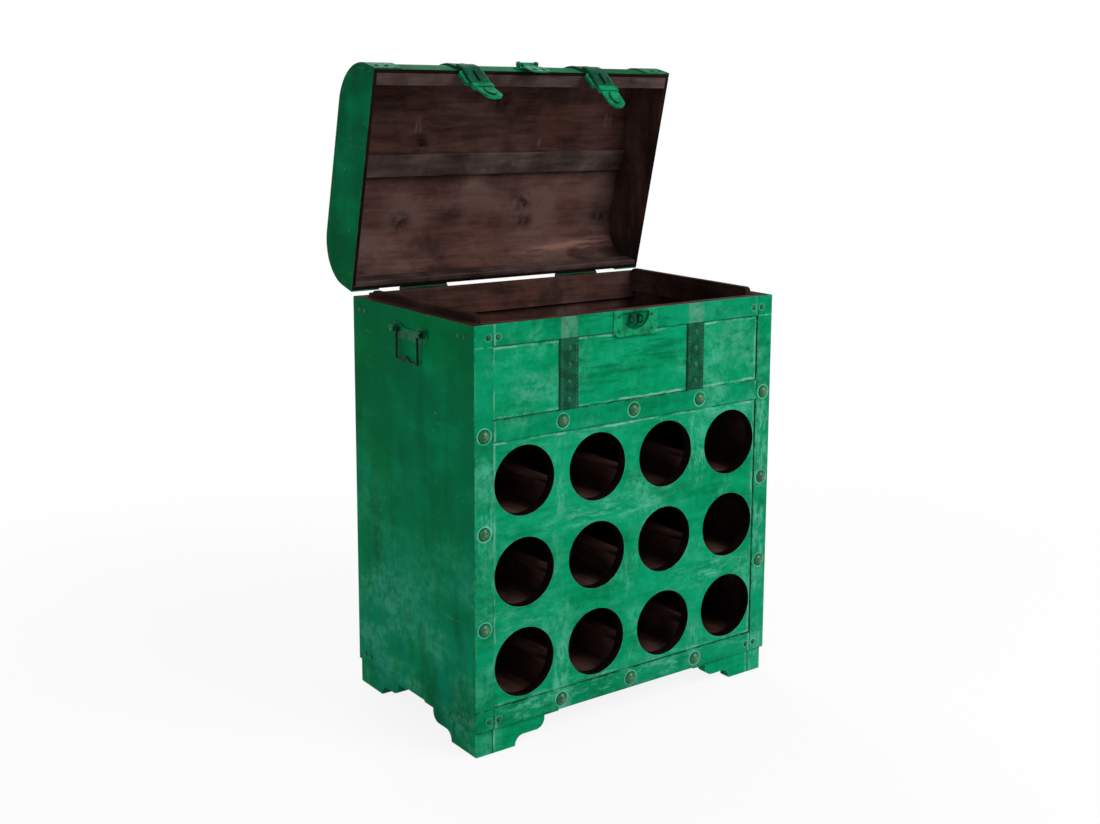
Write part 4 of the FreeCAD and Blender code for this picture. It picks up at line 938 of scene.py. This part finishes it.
# Fittings
for node in ("lock_plate", "lock_staples"):
    dress(node, [LOCK_METAL], width=0.35 * MM, least_angle=40)
for node in ("hasp_bracket", "hasp_pin", "hasp_plate"):
    dress(node, [FITTING_METAL], width=0.35 * MM, least_angle=40)
for node in ("hinge_lid_leaves", "hinge_pins"):
    dress(node, [HINGE_METAL], width=0.3 * MM, least_angle=40)
# The lower leaves stand off by a hair, so that the skin of the shut lid passes them.
LEAF_SHIFT = 0.1 * MM
box_leaves = dress("hinge_box_leaves", [HINGE_METAL], width=0.3 * MM, least_angle=40)
box_leaves.data.transform(Matrix.Translation((0, LEAF_SHIFT, 0)))
for side in SIDES:
    dress(f"handle_plate_{side}", [HANDLE_METAL], width=0.3 * MM, least_angle=40)
    dress(f"handle_bail_{side}", [DARK_METAL], width=0.4 * MM)
domes("dome_studs", STUD_METAL)
for node in ("corner_nails", "front_strap_studs", "lid_nails"):
    domes(node, NAIL_METAL)

# Camera at the photograph's angle; the shift is the photograph's own off-centre framing.
VIEW_AZIMUTH = math.radians(-37.847)
VIEW_HEIGHT = math.radians(9.052)
VIEW_ROLL = math.radians(0.626)
camera_data = bpy.data.cameras.new("photo_camera")
camera_data.sensor_width = 36.0
camera_data.lens = 46.913
camera_data.shift_x = -0.0593
camera_data.shift_y = -0.0856
camera = bpy.data.objects.new("photo_camera", camera_data)
camera.location = (-1.0802, -1.5255, 0.7836)
backwards = Vector((
    math.sin(VIEW_AZIMUTH) * math.cos(VIEW_HEIGHT),
    -math.cos(VIEW_AZIMUTH) * math.cos(VIEW_HEIGHT),
    math.sin(VIEW_HEIGHT),
))
camera.rotation_mode = "QUATERNION"
level_view = (-backwards).to_track_quat("-Z", "Y")
camera.rotation_quaternion = level_view @ Matrix.Rotation(VIEW_ROLL, 3, "Z").to_quaternion()
bpy.context.scene.collection.objects.link(camera)
bpy.context.scene.camera = camera


# Studio: pale floor, white surround and soft lamps
def backdrop_share(tree):
    """1 for rays that should see plain white: from the camera, or mirrored or bent towards it."""
    path = tree.nodes.new("ShaderNodeLightPath")
    total = path.outputs["Is Camera Ray"]
    for ray in ("Is Glossy Ray", "Is Transmission Ray"):
        either = tree.nodes.new("ShaderNodeMath")
        either.operation = "MAXIMUM"
        tree.links.new(total, either.inputs[0])
        tree.links.new(path.outputs[ray], either.inputs[1])
        total = either.outputs[0]
    return total


AMBIENT = 0.28
world = bpy.data.worlds.new("studio")
bpy.context.scene.world = world
world.use_nodes = True
world_tree = world.node_tree
surround = world_tree.nodes["Background"]
surround.inputs["Color"].default_value = (1.0, 1.0, 1.0, 1.0)
brightness = world_tree.nodes.new("ShaderNodeMapRange")
brightness.inputs["To Min"].default_value = AMBIENT
brightness.inputs["To Max"].default_value = 1.0
world_tree.links.new(backdrop_share(world_tree), brightness.inputs["Value"])
world_tree.links.new(brightness.outputs[0], surround.inputs["Strength"])

CHEST_MIDDLE = Vector((0.0, -0.05, 0.40))


def studio_lamp(name, place, size, watts):
    """Square soft lamp aimed at the chest."""
    data = bpy.data.lights.new(name, "AREA")
    data.size = size
    data.energy = watts
    lamp = bpy.data.objects.new(name, data)
    lamp.location = place
    lamp.rotation_mode = "QUATERNION"
    lamp.rotation_quaternion = (CHEST_MIDDLE - Vector(place)).to_track_quat("-Z", "Y")
    bpy.context.scene.collection.objects.link(lamp)


studio_lamp("front_softbox", (0.9, -2.1, 1.9), 1.5, 54)
studio_lamp("left_softbox", (-2.4, -0.7, 1.0), 1.4, 9)
studio_lamp("back_softbox", (0.6, 2.4, 1.5), 1.8, 40)

FLOOR_SIZE = 40.0
FLOOR_WHITE = 0.88
SHADOW_REACH = (0.5, 1.6)
floor_bm = bmesh.new()
bmesh.ops.create_grid(floor_bm, x_segments=1, y_segments=1, size=FLOOR_SIZE)
floor_mesh = bpy.data.meshes.new("studio_floor")
floor_bm.to_mesh(floor_mesh)
floor_bm.free()
floor = bpy.data.objects.new("studio_floor", floor_mesh)
bpy.context.scene.collection.objects.link(floor)
floor_paint = bpy.data.materials.new("studio_floor")
floor_paint.use_nodes = True
floor_tree = floor_paint.node_tree
pale = floor_tree.nodes["Principled BSDF"]
pale.inputs["Base Color"].default_value = (0.92, 0.92, 0.92, 1.0)
pale.inputs["Roughness"].default_value = 0.9
white = floor_tree.nodes.new("ShaderNodeEmission")
# The floor shows the shadow near the chest and goes over to plain white further out.
floor_place = floor_tree.nodes.new("ShaderNodeTexCoord")
from_chest = floor_tree.nodes.new("ShaderNodeVectorMath")
from_chest.operation = "LENGTH"
floor_tree.links.new(floor_place.outputs["Object"], from_chest.inputs[0])
fade = floor_tree.nodes.new("ShaderNodeMapRange")
fade.interpolation_type = "SMOOTHSTEP"
fade.inputs["From Min"].default_value, fade.inputs["From Max"].default_value = SHADOW_REACH
fade.inputs["To Min"].default_value = FLOOR_WHITE
fade.inputs["To Max"].default_value = 1.0
floor_tree.links.new(from_chest.outputs["Value"], fade.inputs["Value"])
share = floor_tree.nodes.new("ShaderNodeMath")
share.operation = "MULTIPLY"
floor_tree.links.new(fade.outputs[0], share.inputs[1])
floor_tree.links.new(backdrop_share(floor_tree), share.inputs[0])
blend = floor_tree.nodes.new("ShaderNodeMixShader")
floor_tree.links.new(share.outputs[0], blend.inputs[0])
floor_tree.links.new(pale.outputs[0], blend.inputs[1])
floor_tree.links.new(white.outputs[0], blend.inputs[2])
floor_tree.links.new(blend.outputs[0], floor_tree.nodes["Material Output"].inputs["Surface"])
floor_mesh.materials.append(floor_paint)

bpy.context.scene.view_settings.view_transform = "Standard"
